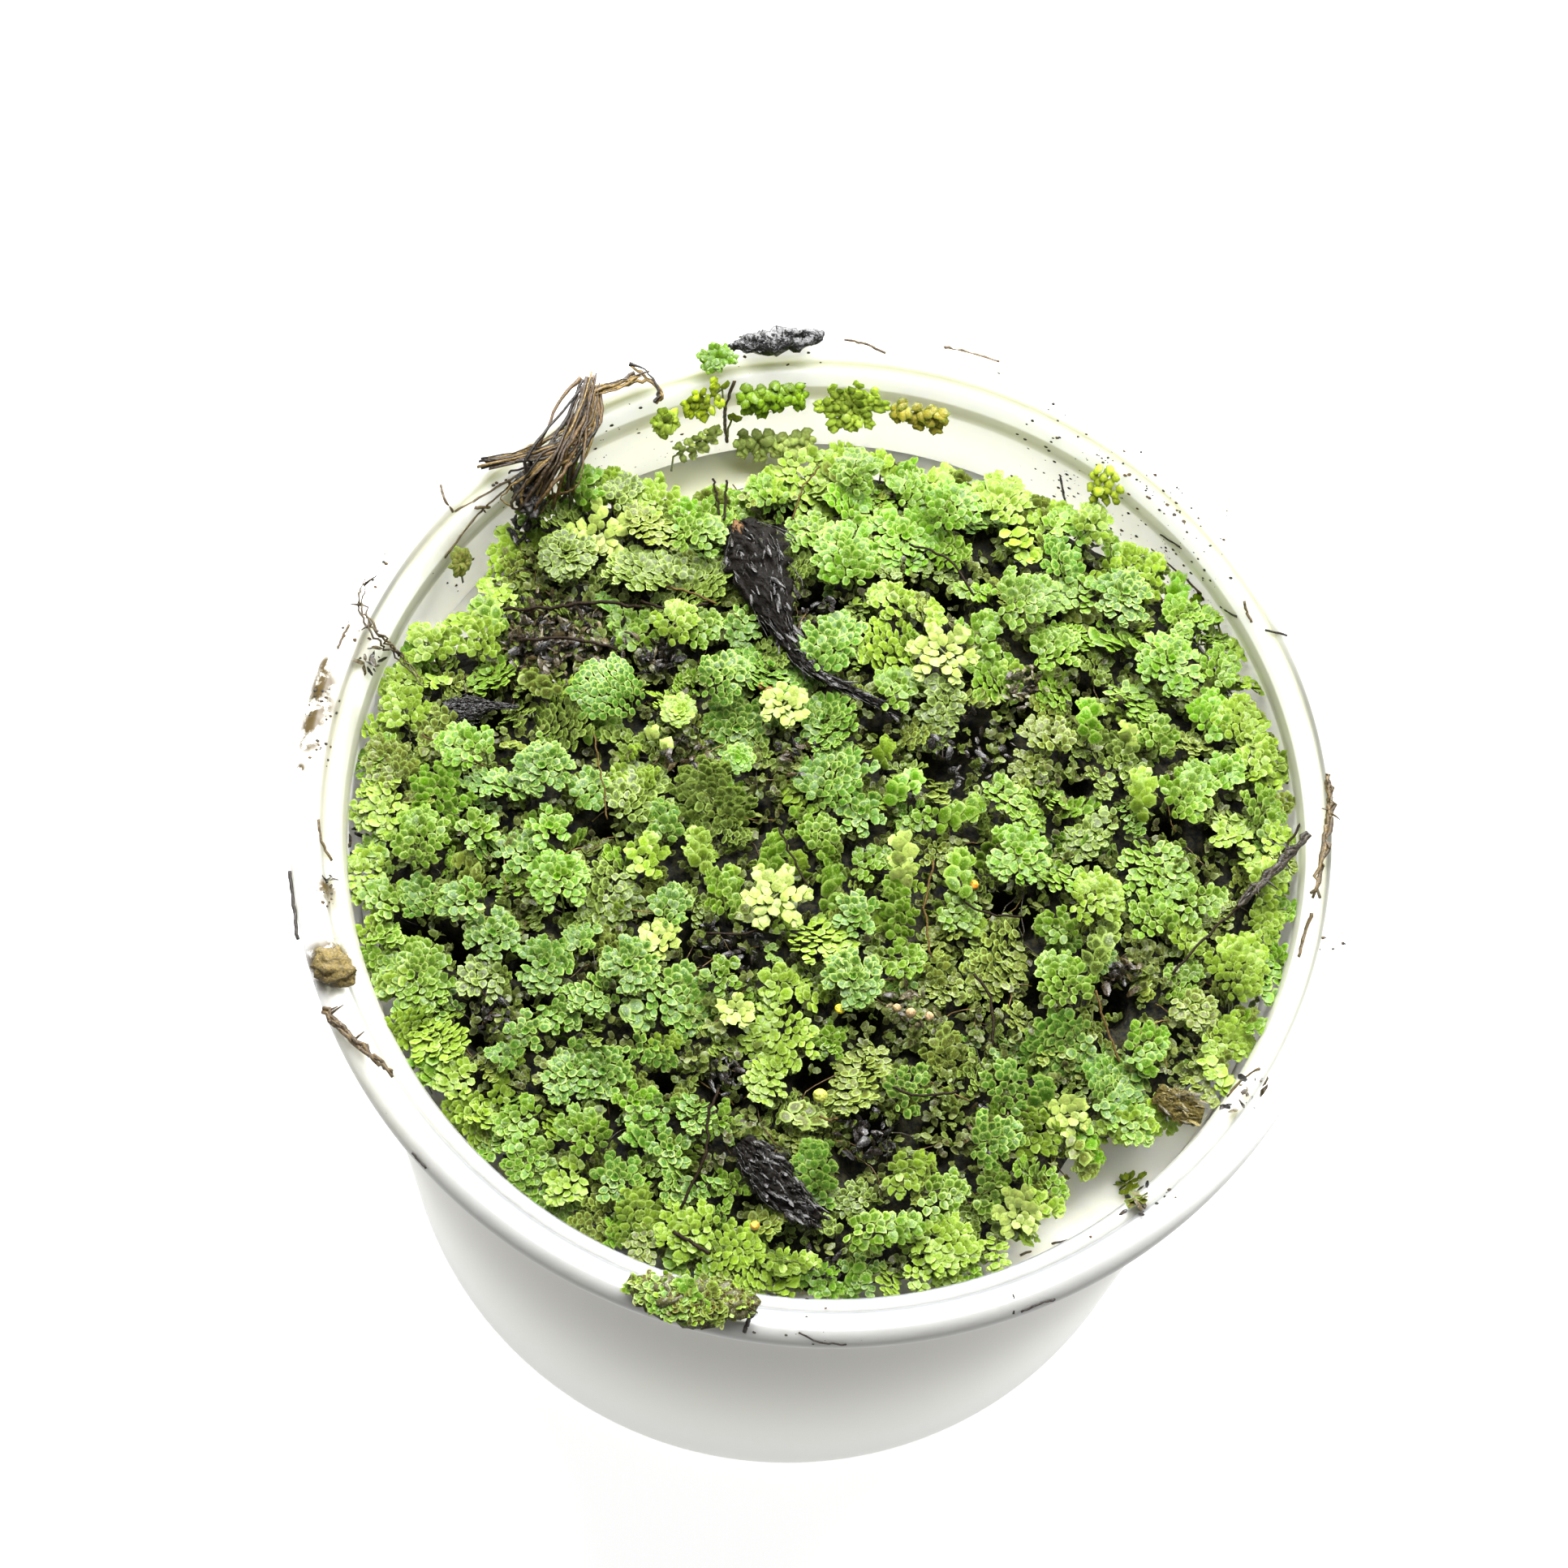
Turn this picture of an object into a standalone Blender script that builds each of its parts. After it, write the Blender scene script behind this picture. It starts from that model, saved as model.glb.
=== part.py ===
"""Carolina mosquito fern grown as a floating mat in a round culture cup.

The origin is on the table under the middle of the cup, +Z is up and -Y faces the viewer.
All sizes are in metres.
"""

import math
import random

import bmesh
import bpy
from mathutils import Matrix, Vector
from mathutils.geometry import delaunay_2d_cdt

# Cup
RIM_RADIUS = 0.041
CUP_HEIGHT = 0.080
BASE_RADIUS = 0.0353
NECK_RADIUS = 0.0381
NECK_HEIGHT = 0.0768
WALL = 0.0012
BEAD_RADIUS = 0.00135
SEAT_TOP = (0.0377, 0.0789)
SEAT_FOOT = (0.0368, 0.0764)
HEEL_RADIUS = 0.0022
FOOT_RING_WIDTH = 0.0026
FOOT_RECESS = 0.0008
FLOOR_THICKNESS = 0.0011
TURNED_STEPS = 48

# Clearance between pieces that touch
GAP = 0.00035

# Culture medium and the mound of fern on it
MEDIUM_TOP = 0.0680
MOUND_CENTRE = (0.0, -0.002)
MOUND_TOP = 0.0784
MOUND_DROP = 0.0032
MOUND_REACH = 0.036
MAT_EDGE_DROP = 0.0016
MAT_MAX_RADIUS = 0.0361
MAT_OUTLINE_POINTS = 60
MAT_UNDERCUT = 0.0006

# Rosettes of leaves that are fused to the mat
ROSETTE_RADII = (0.0029, 0.0024, 0.0019, 0.0015)
ROSETTE_CROWNED = 0.0023
ROSETTE_PACKING = 0.94
ROSETTE_TRIES = 700
ROSETTE_EDGE = 0.0003
ROSETTE_CROWN = 0.0015
ROSETTE_TIP = 0.0004
ROSETTE_NOTCH = -0.0012
ROSETTE_CENTRE = 0.0012
ROSETTE_SEED = 11

# Single fronds
FROND_HEIGHT = 0.0023
FROND_MARGIN = 0.00045
FROND_ASPECT = 0.86
WALL_FROND_THICKNESS = 0.0011
WALL_FROND_LEAN = math.radians(52)

# The place that the photograph was taken from, for a square frame 1932 pixels wide
VIEW_FRAME = 1932.0
VIEW_ELEVATION = math.radians(70.39)
VIEW_ROLL = math.radians(7.31)
VIEW_DISTANCE = 0.328
VIEW_FOCAL = 5278.0
VIEW_OFFSET = (53.1, 44.5)
VIEW_TARGET_HEIGHT = 0.0786
PIXEL = RIM_RADIUS / 659.0

# Edge of the fern mat as seen, read by hand: x and y in pixels
MAT_EDGE_PIXELS = [
    (430, 1000), (440, 880), (480, 800), (545, 775), (600, 745), (612, 640),
    (700, 575), (770, 600), (830, 625), (900, 622), (935, 590), (1000, 560),
    (1130, 572), (1280, 612), (1390, 660), (1450, 710), (1530, 800), (1590, 910),
    (1612, 1000), (1610, 1080), (1580, 1240), (1500, 1330), (1420, 1385), (1345, 1425),
    (1290, 1490), (1230, 1560), (1100, 1600), (975, 1605), (850, 1590), (700, 1530),
    (560, 1400), (470, 1280), (430, 1150),
]
MAT_EDGE_HEIGHT = 0.0755

# Fronds on the mat: x and y in pixels, width in pixels, leaf lobes, heading in degrees, kind of green
FRONDS = [
    (705, 588, 74, 6, 100, "bright"), (702, 688, 84, 6, 20, "grey"),
    (862, 662, 78, 7, 10, "fresh"), (832, 772, 70, 6, 80, "fresh"),
    (892, 838, 76, 7, 45, "blue"), (968, 872, 66, 5, 60, "pale"),
    (1040, 690, 112, 8, 120, "fresh"), (1055, 588, 78, 7, 90, "fresh"),
    (1170, 632, 90, 7, 60, "bright"), (1263, 742, 96, 7, 30, "fresh"),
    (1342, 652, 76, 6, 75, "yellow"), (1378, 740, 84, 7, 50, "blue"),
    (1158, 808, 100, 7, 140, "pale"), (1435, 822, 100, 8, 100, "bright"),
    (752, 852, 92, 8, 160, "blue"), (520, 792, 76, 6, 130, "yellow"),
    (578, 925, 80, 7, 170, "bright"), (672, 950, 84, 6, 40, "blue"),
    (520, 1032, 88, 7, 85, "fresh"), (690, 1085, 88, 6, 110, "bright"),
    (575, 1112, 76, 6, 200, "blue"), (778, 1190, 84, 7, 10, "blue"),
    (650, 1272, 66, 5, 70, "blue"), (957, 1108, 92, 7, 50, "pale"),
    (1252, 1054, 84, 6, 0, "bright"), (1345, 1108, 80, 6, 30, "pale"),
    (1400, 978, 84, 7, 88, "pale"), (1568, 1092, 74, 6, 60, "yellow"),
    (1530, 1196, 104, 8, 75, "yellow"), (1310, 1205, 84, 7, 140, "fresh"),
    (1050, 1207, 88, 6, 120, "blue"), (1112, 1062, 84, 7, 95, "pale"),
    (1085, 1512, 110, 8, 15, "fresh"), (975, 1585, 66, 7, 5, "yellow"),
    (720, 1395, 78, 6, 150, "fresh"), (1222, 1402, 78, 6, 35, "blue"),
]

# Fronds that lean out from the inner wall: x and y in pixels, width and depth in pixels, leaf
# lobes, kind of green
WALL_FRONDS = [
    (871, 491, 62, 44, 6, "yellow"), (952, 488, 76, 42, 7, "bright"),
    (1049, 501, 96, 72, 8, "bright"), (1133, 509, 60, 46, 6, "brown"),
    (567, 690, 42, 40, 5, "brown"), (816, 519, 42, 34, 5, "blue"),
    (853, 549, 78, 26, 6, "grey"), (953, 545, 90, 38, 7, "grey"), (1361, 594, 48, 40, 7, "bright"),
]
# Frond lying on the rim: x and y in pixels, width in pixels, leaf lobes, height, kind of green
RIM_FROND = (883, 447, 50, 6, 0.0804, "bright")

# Strands and leaves: x and y in pixels, height of the middle, half width
ROOT_STRANDS = [
    [(668, 604, 0.0779, 0.0011), (690, 564, 0.0807, 0.0010), (712, 516, 0.0812, 0.0008),
     (728, 468, 0.0811, 0.0006)],
    [(704, 536, 0.0811, 0.0005), (650, 560, 0.0809, 0.0004), (592, 572, 0.0807, 0.0003)],
    [(698, 550, 0.0808, 0.0006), (670, 577, 0.0803, 0.0008), (652, 602, 0.0787, 0.0010),
     (650, 626, 0.0778, 0.0006)],
    [(729, 482, 0.0811, 0.0004), (762, 473, 0.0809, 0.0003), (792, 462, 0.0808, 0.0002)],
    [(773, 451, 0.0807, 0.0002), (791, 463, 0.0808, 0.00028), (809, 486, 0.0806, 0.00025),
     (805, 498, 0.0803, 0.0002)],
]
LEFT_TWIG = [(449, 716, 0.0807, 0.0002), (444, 745, 0.0808, 0.0004), (464, 781, 0.0808, 0.0005),
             (490, 806, 0.0793, 0.0004), (524, 846, 0.0787, 0.0002)]
RIGHT_TWIG = [(1612, 1028, 0.0796, 0.0003), (1570, 1072, 0.0789, 0.0004), (1521, 1120, 0.0786, 0.0002)]
NEAR_TWIG = [(399, 1245, 0.0806, 0.0003), (440, 1285, 0.0806, 0.0003), (486, 1324, 0.0805, 0.0002)]
RIM_STRAW = [(1635, 956, 0.0805, 0.0002), (1639, 988, 0.0805, 0.0003), (1634, 1034, 0.0805, 0.0003),
             (1620, 1104, 0.0804, 0.0002)]

# Flat leaves pressed onto the mat: x and y in pixels, half width
DEAD_LEAF = [(908, 646, 0.0012), (928, 678, 0.0024), (944, 722, 0.0021), (962, 768, 0.0011),
             (992, 818, 0.0005), (1046, 850, 0.0004), (1112, 882, 0.0003)]
NEAR_DEAD_LEAF = [(912, 1404, 0.0011), (942, 1440, 0.0021), (975, 1478, 0.0016), (1004, 1504, 0.0006)]
BROWN_LEAF = [(1424, 1346, 0.0007), (1450, 1362, 0.0012), (1482, 1374, 0.0007)]
LEAF_FLATNESS = 0.3

# Lumps on the rim: x and y in pixels, half width
BARK_CHIP = [(902, 427, 0.0004), (945, 422, 0.0010), (985, 416, 0.0009), (1012, 411, 0.0003)]
SOIL_CRUMB = [(399, 1174, 0.0006), (411, 1192, 0.0012), (426, 1207, 0.0006)]
MOSS_CLUMP = [(786, 1584, 0.0008), (826, 1600, 0.0017), (876, 1606, 0.0016), (922, 1606, 0.0007)]
LUMP_FLATNESS = 0.6

GREENS = {
    "bright": (0.22, 0.50, 0.07),
    "fresh": (0.19, 0.42, 0.09),
    "blue": (0.14, 0.36, 0.14),
    "yellow": (0.42, 0.55, 0.10),
    "pale": (0.50, 0.64, 0.28),
    "grey": (0.28, 0.36, 0.16),
    "brown": (0.30, 0.24, 0.05),
}

rng = random.Random(ROSETTE_SEED)


def clear_scene():
    for obj in list(bpy.data.objects):
        bpy.data.objects.remove(obj, do_unlink=True)


def make_material(name, colour, roughness=0.6):
    material = bpy.data.materials.get(name) or bpy.data.materials.new(name)
    material.use_nodes = True
    shader = material.node_tree.nodes["Principled BSDF"]
    shader.inputs["Base Color"].default_value = (*colour, 1.0)
    shader.inputs["Roughness"].default_value = roughness
    return material


def add_object(name, data, material, collection):
    obj = bpy.data.objects.new(name, data)
    data.materials.append(material)
    collection.objects.link(obj)
    return obj


# Places in the photograph

def view_axes():
    back = Vector((0, -math.cos(VIEW_ELEVATION), math.sin(VIEW_ELEVATION)))
    level = Vector((1, 0, 0))
    up = back.cross(level)
    right = math.cos(VIEW_ROLL) * level + math.sin(VIEW_ROLL) * up
    upward = -math.sin(VIEW_ROLL) * level + math.cos(VIEW_ROLL) * up
    return back, right, upward


def place(px, py, height):
    """The point at a height that is seen at a pixel of the photograph."""
    back, right, upward = view_axes()
    scale = VIEW_DISTANCE / VIEW_FOCAL
    eye = Vector((0, 0, VIEW_TARGET_HEIGHT)) + back * VIEW_DISTANCE
    eye += upward * VIEW_OFFSET[1] * scale - right * VIEW_OFFSET[0] * scale
    middle = VIEW_FRAME / 2
    ray = (right * (px - middle) - upward * (py - middle)) / VIEW_FOCAL - back
    return eye + ray * ((height - eye.z) / ray.z)


def inner_radius(height):
    """Radius of the cup's inner wall, up to the foot of the lid seat."""
    low = BASE_RADIUS - WALL
    share = (height - HEEL_RADIUS) / (SEAT_FOOT[1] - HEEL_RADIUS)
    return low + (SEAT_FOOT[0] - low) * share


def opening_radius(height):
    """Radius inside the cup at a height, the lid seat included."""
    if height < SEAT_FOOT[1]:
        return inner_radius(height)
    share = min(1.0, (height - SEAT_FOOT[1]) / (SEAT_TOP[1] - SEAT_FOOT[1]))
    return SEAT_FOOT[0] + (SEAT_TOP[0] - SEAT_FOOT[0]) * share


def is_off_wall(point):
    facet = math.cos(math.pi / TURNED_STEPS)
    return math.hypot(point.x, point.y) < opening_radius(point.z) * facet - GAP


# Cup and medium

def arc(centre, radius, start, end, steps):
    """Points of an arc in the plane of a turned profile, angles in degrees."""
    points = []
    for i in range(steps + 1):
        angle = math.radians(start + (end - start) * i / steps)
        points.append((centre[0] + radius * math.cos(angle), centre[1] + radius * math.sin(angle)))
    return points


def turned(name, profile, material, collection):
    """A solid of revolution; the profile runs from the axis over the top and down the outside."""
    mesh = bpy.data.meshes.new(name)
    vertices = [(radius, 0, height) for radius, height in profile]
    mesh.from_pydata(vertices, [(i, i + 1) for i in range(len(vertices) - 1)], [])
    obj = add_object(name, mesh, material, collection)
    screw = obj.modifiers.new("turn", "SCREW")
    screw.steps = TURNED_STEPS
    screw.render_steps = TURNED_STEPS
    screw.use_merge_vertices = True
    screw.merge_threshold = 0.00005
    return obj


def make_cup(collection):
    floor = FOOT_RECESS + FLOOR_THICKNESS
    inside_foot = inner_radius(floor + HEEL_RADIUS)
    inside_heel = (inside_foot - HEEL_RADIUS, floor + HEEL_RADIUS)
    outside_heel = (BASE_RADIUS - HEEL_RADIUS, HEEL_RADIUS)
    bead = (RIM_RADIUS - BEAD_RADIUS, CUP_HEIGHT - BEAD_RADIUS)
    ring_inside = outside_heel[0] - FOOT_RING_WIDTH
    profile = [(0, floor)]
    profile += arc(inside_heel, HEEL_RADIUS, -90, 0, 2)
    profile += [SEAT_FOOT, SEAT_TOP]
    profile += arc(bead, BEAD_RADIUS, 165, -75, 7)
    profile += [(NECK_RADIUS, NECK_HEIGHT)]
    profile += arc(outside_heel, HEEL_RADIUS, 0, -90, 3)
    profile += [(ring_inside, 0), (ring_inside - FOOT_RECESS, FOOT_RECESS), (0, FOOT_RECESS)]
    plastic = make_material("milky plastic", (0.90, 0.90, 0.86), 0.35)
    return turned("cup", profile, plastic, collection)


def make_medium(collection):
    floor = FOOT_RECESS + FLOOR_THICKNESS + GAP
    foot_height = floor + HEEL_RADIUS
    foot = inner_radius(foot_height) - GAP
    profile = [(0, floor), (foot - HEEL_RADIUS * 1.2, floor), (foot - GAP, foot_height)]
    profile += [(inner_radius(MEDIUM_TOP) - GAP, MEDIUM_TOP), (0, MEDIUM_TOP)]
    profile.reverse()
    gel = make_material("culture gel", (0.80, 0.79, 0.62), 0.25)
    return turned("culture_medium", profile, gel, collection)


# Mound of fern

def mound_height(x, y):
    """Smooth height of the fern's top, before any leaf."""
    away = math.hypot(x - MOUND_CENTRE[0], y - MOUND_CENTRE[1]) / MOUND_REACH
    return MOUND_TOP - MOUND_DROP * away ** 3


def mound_plane(x, y):
    """The plane that touches the mound at a point: its point and its upward normal."""
    step = 0.0005
    slope_x = (mound_height(x + step, y) - mound_height(x - step, y)) / (2 * step)
    slope_y = (mound_height(x, y + step) - mound_height(x, y - step)) / (2 * step)
    return Vector((x, y, mound_height(x, y))), Vector((-slope_x, -slope_y, 1)).normalized()


class Clearing:
    """A round place on the mat that is kept smooth under a loose piece."""

    def __init__(self, x, y, radius):
        self.x = x
        self.y = y
        self.radius = radius
        self.point, self.normal = mound_plane(x, y)

    def holds(self, x, y, spare=0.0):
        return math.hypot(x - self.x, y - self.y) <= self.radius + spare

    def height(self, x, y):
        run = self.normal.x * (x - self.x) + self.normal.y * (y - self.y)
        return self.point.z - run / self.normal.z


def edge_radius_function():
    """Distance of the mat's edge from the axis for any direction, from the pixels read by hand."""
    samples = []
    for px, py in MAT_EDGE_PIXELS:
        point = place(px, py, MAT_EDGE_HEIGHT)
        radius = min(math.hypot(point.x, point.y), MAT_MAX_RADIUS)
        samples.append((math.atan2(point.y, point.x) % math.tau, radius))
    samples.sort()
    samples = [(samples[-1][0] - math.tau, samples[-1][1])] + samples
    samples.append((samples[1][0] + math.tau, samples[1][1]))

    def radius_at(angle):
        angle %= math.tau
        for (low, low_radius), (high, high_radius) in zip(samples, samples[1:]):
            if low <= angle <= high:
                return low_radius + (high_radius - low_radius) * (angle - low) / (high - low)
        return MAT_MAX_RADIUS

    return radius_at


def rosette_points(x, y, radius, lobes, turn):
    """Points of a rosette: its middle, a crown and a tip for each lobe, and the notches between."""
    base = mound_height(x, y)
    points = [(x, y, base + ROSETTE_CENTRE)]
    for i in range(lobes):
        along = turn + math.tau * i / lobes
        between = along + math.pi / lobes
        rows = [(along, 0.98, ROSETTE_TIP), (between, 0.84, ROSETTE_NOTCH)]
        if radius > ROSETTE_CROWNED:
            rows.append((along, 0.58, ROSETTE_CROWN))
        for angle, share, lift in rows:
            reach = radius * share
            points.append((x + reach * math.cos(angle), y + reach * math.sin(angle), base + lift))
    return points


def rosette_places(radius_at, clearings):
    """Random places that fill the mat between the clearings, the widest rosettes first."""
    places = []
    for radius in ROSETTE_RADII:
        for _ in range(ROSETTE_TRIES):
            away = MAT_MAX_RADIUS * math.sqrt(rng.random())
            angle = rng.uniform(0, math.tau)
            x, y = away * math.cos(angle), away * math.sin(angle)
            turn = rng.uniform(0, math.tau)
            room = radius_at(angle) - away - ROSETTE_EDGE
            room = min([room] + [math.hypot(x - c.x, y - c.y) - c.radius for c in clearings])
            room = min([room] + [math.hypot(x - p[0], y - p[1]) - p[2] for p in places])
            if room >= radius * ROSETTE_PACKING:
                places.append((x, y, radius, 5, turn))
    return places


def ring(x, y, radius, count, turn=0.0):
    for i in range(count):
        angle = turn + math.tau * i / count
        yield x + radius * math.cos(angle), y + radius * math.sin(angle)


def clearing_height(clearings, x, y):
    """Lowest floor of the clearings that hold a place, or None outside them all."""
    floors = [c.height(x, y) for c in clearings if c.holds(x, y, 0.0001)]
    return min(floors) if floors else None


def mat_points(radius_at, clearings):
    """Every chosen point on the mat's top, the outline first."""
    outline = []
    for i in range(MAT_OUTLINE_POINTS):
        angle = math.tau * i / MAT_OUTLINE_POINTS
        radius = radius_at(angle)
        x, y = radius * math.cos(angle), radius * math.sin(angle)
        outline.append((x, y, mound_height(x, y) - MAT_EDGE_DROP))
    inner = []
    for x, y, radius, lobes, turn in rosette_places(radius_at, clearings):
        inner += rosette_points(x, y, radius, lobes, turn)
    for c in clearings:
        inner.append((c.x, c.y, c.point.z))
        sides = 9 if c.radius > 0.002 else 6
        inner += [(x, y, c.height(x, y)) for x, y in ring(c.x, c.y, c.radius, sides)]
    kept = []
    for x, y, z in inner:
        room = radius_at(math.atan2(y, x)) - math.hypot(x, y)
        if room < 0.0004:
            continue
        floor = clearing_height(clearings, x, y)
        kept.append((x, y, floor if floor is not None else z))
    return outline, kept


def make_mat(collection, clearings):
    """The fused carpet: a triangulated top of rosettes, a side wall and a flat underside."""
    radius_at = edge_radius_function()
    outline, inner = mat_points(radius_at, clearings)
    chosen = outline + inner
    flat = [Vector((x, y)) for x, y, _ in chosen]
    boundary = list(range(len(outline)))
    result = delaunay_2d_cdt(flat, [], [boundary], 1, 1e-7)
    places, triangles, sources = result[0], result[2], result[3]

    bm = bmesh.new()
    top = []
    for place_2d, source in zip(places, sources):
        height = chosen[source[0]][2]
        top.append(bm.verts.new((place_2d.x, place_2d.y, height)))
    for triangle in triangles:
        bm.faces.new([top[i] for i in triangle])
    border = [edge for edge in bm.edges if edge.is_boundary]
    sides = bmesh.ops.extrude_edge_only(bm, edges=border)["geom"]
    bottom = MEDIUM_TOP + GAP
    for vertex in [item for item in sides if isinstance(item, bmesh.types.BMVert)]:
        radius = math.hypot(vertex.co.x, vertex.co.y)
        share = (radius - MAT_UNDERCUT) / radius
        vertex.co = (vertex.co.x * share, vertex.co.y * share, bottom)
    lower = [edge for edge in bm.edges if edge.is_boundary]
    bmesh.ops.contextual_create(bm, geom=lower)
    bmesh.ops.triangulate(bm, faces=[face for face in bm.faces if len(face.verts) > 3])
    bmesh.ops.recalc_face_normals(bm, faces=bm.faces)
    mesh = bpy.data.meshes.new("fern_mat")
    bm.to_mesh(mesh)
    bm.free()
    material = make_material("fern mat", (0.20, 0.34, 0.09), 0.7)
    return add_object("fern_mat", mesh, material, collection)


# Single fronds

def pulled_in(x, y, radius):
    """A place moved towards the axis until a round piece on it stays off the wall."""
    away = math.hypot(x, y)
    share = min(1.0, (MAT_MAX_RADIUS - radius) / away)
    return x * share, y * share


def frond_mesh(name, length, width, height, lobes):
    """A sphere reshaped into a low star of leaf lobes with a flat underside."""
    bm = bmesh.new()
    bmesh.ops.create_uvsphere(bm, u_segments=lobes * 2, v_segments=4, radius=1.0)
    for vertex in bm.verts:
        angle = math.atan2(vertex.co.y, vertex.co.x)
        is_lobe = math.cos(angle * lobes) > 0
        level = round(vertex.co.z, 2)
        if abs(level) == 1.0:
            reach, rise = 0.0, (0.82 if level > 0 else 0.0)
        elif level < -0.1:
            reach, rise = (0.88 if is_lobe else 0.62), 0.0
        elif level > 0.1:
            reach, rise = (0.66 if is_lobe else 0.42), (1.0 if is_lobe else 0.66)
        else:
            reach, rise = (1.0 if is_lobe else 0.72), 0.42
        x = math.cos(angle) * reach * length / 2
        y = math.sin(angle) * reach * width / 2
        vertex.co = (x, y, rise * height)
    mesh = bpy.data.meshes.new(name)
    bm.to_mesh(mesh)
    bm.free()
    return mesh


def make_fronds(collection):
    """The fronds that stand clear on the mat; returns the clearings under them."""
    clearings = []
    for index, (px, py, size, lobes, heading, green) in enumerate(FRONDS, start=1):
        name = f"frond_{index:02d}"
        length = size * PIXEL
        height = FROND_HEIGHT * (0.7 + 0.3 * size / 90)
        spot = place(px, py, MOUND_TOP + height * 0.6)
        for _ in range(3):
            spot = place(px, py, mound_height(spot.x, spot.y) + height * 0.6)
        x, y = pulled_in(spot.x, spot.y, length / 2)
        clearing = Clearing(x, y, length / 2 + FROND_MARGIN)
        clearings.append(clearing)
        mesh = frond_mesh(name, length, length * FROND_ASPECT, height, lobes)
        obj = add_object(name, mesh, make_material(f"{green} frond", GREENS[green]), collection)
        tilt = clearing.normal.to_track_quat("Z", "Y").to_matrix().to_4x4()
        turn = Vector((math.cos(math.radians(heading)), math.sin(math.radians(heading)), 0))
        obj.rotation_mode = "QUATERNION"
        spin = Vector((1, 0, 0)).rotation_difference(turn)
        obj.rotation_quaternion = tilt.to_quaternion() @ spin
        obj.location = clearing.point + clearing.normal * GAP
    return clearings


def leaning_matrix(px, py, height):
    """Placement of a frond that is seen at a pixel, leans on the wall and faces up and inward."""
    spot = place(px, py, height)
    outward = Vector((spot.x, spot.y, 0)).normalized()
    rise, reach = math.sin(WALL_FROND_LEAN), math.cos(WALL_FROND_LEAN)
    normal = Vector((0, 0, reach)) - outward * rise
    slope = outward * reach + Vector((0, 0, rise))
    matrix = Matrix((slope.cross(normal), slope, normal)).transposed().to_4x4()
    matrix.translation = spot - normal * (WALL_FROND_THICKNESS / 2)
    return matrix


def make_wall_fronds(collection):
    """Fronds that stick to the inner wall with their far edge."""
    foreshortening = math.cos(WALL_FROND_LEAN - (math.pi / 2 - VIEW_ELEVATION))
    for index, (px, py, width, depth, lobes, green) in enumerate(WALL_FRONDS, start=1):
        name = f"wall_frond_{index}"
        breadth = depth * PIXEL / foreshortening
        mesh = frond_mesh(name, width * PIXEL, breadth, WALL_FROND_THICKNESS, lobes)
        height = MEDIUM_TOP + breadth * 0.6
        matrix = leaning_matrix(px, py, height)
        while not all(is_off_wall(matrix @ vertex.co) for vertex in mesh.vertices):
            height += 0.0001
            matrix = leaning_matrix(px, py, height)
        obj = add_object(name, mesh, make_material(f"{green} frond", GREENS[green]), collection)
        obj.rotation_mode = "QUATERNION"
        obj.rotation_quaternion = matrix.to_quaternion()
        obj.location = matrix.translation


def make_rim_frond(collection):
    px, py, size, lobes, height, green = RIM_FROND
    length = size * PIXEL
    mesh = frond_mesh("rim_frond", length, length * 0.8, WALL_FROND_THICKNESS, lobes)
    obj = add_object("rim_frond", mesh, make_material(f"{green} frond", GREENS[green]), collection)
    spot = place(px, py, height)
    obj.location = spot
    obj.rotation_euler.z = math.atan2(spot.y, spot.x) + math.pi / 2


# Roots, twigs, dead leaves and lumps

def strand(name, route, material, collection, flatness=1.0):
    """A tapering tube through points given with their half widths; flatness presses it thin."""
    curve = bpy.data.curves.new(name, "CURVE")
    curve.dimensions = "3D"
    curve.bevel_depth = 1.0
    curve.bevel_resolution = 1
    curve.use_fill_caps = True
    spline = curve.splines.new("POLY")
    spline.points.add(len(route) - 1)
    start = route[0][0]
    for node, (point, half_width) in zip(spline.points, route):
        local = point - start
        node.co = (local.x, local.y, local.z / flatness, 1.0)
        node.radius = half_width
    obj = add_object(name, curve, material, collection)
    obj.location = start
    obj.scale.z = flatness
    return obj


def route_at_heights(rows):
    return [(place(px, py, height), half_width) for px, py, height, half_width in rows]


def as_mesh(obj, collection):
    """A curve object remade as a welded mesh object, ready for a Boolean."""
    evaluated = obj.evaluated_get(bpy.context.evaluated_depsgraph_get())
    mesh = bpy.data.meshes.new_from_object(evaluated)
    bm = bmesh.new()
    bm.from_mesh(mesh)
    bmesh.ops.remove_doubles(bm, verts=bm.verts, dist=0.00001)
    bm.to_mesh(mesh)
    bm.free()
    solid = bpy.data.objects.new(obj.name + "_solid", mesh)
    solid.matrix_world = obj.matrix_world
    collection.objects.link(solid)
    bpy.data.objects.remove(obj)
    return solid


def make_root_bundle(collection, helpers):
    """Strands of dead root that grow into each other, lying over the rim."""
    root = make_material("brown root", (0.16, 0.09, 0.03))
    strands = []
    for index, rows in enumerate(ROOT_STRANDS):
        strands.append(strand(f"strand_{index}", route_at_heights(rows), root, helpers))
    bpy.context.view_layer.update()
    bundle = as_mesh(strands[0], collection)
    bundle.name = "root_bundle"
    for other in strands[1:]:
        solid = as_mesh(other, helpers)
        solid.hide_render = True
        solid.display_type = "WIRE"
        union = bundle.modifiers.new("join", "BOOLEAN")
        union.operation = "UNION"
        union.object = solid


def make_twigs(collection):
    twig = make_material("wet twig", (0.08, 0.05, 0.02))
    straw = make_material("brown straw", (0.33, 0.22, 0.07))
    strand("left_twig", route_at_heights(LEFT_TWIG), twig, collection)
    strand("right_twig", route_at_heights(RIGHT_TWIG), twig, collection)
    strand("near_twig", route_at_heights(NEAR_TWIG), straw, collection)
    strand("rim_straw", route_at_heights(RIM_STRAW), straw, collection)


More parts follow.
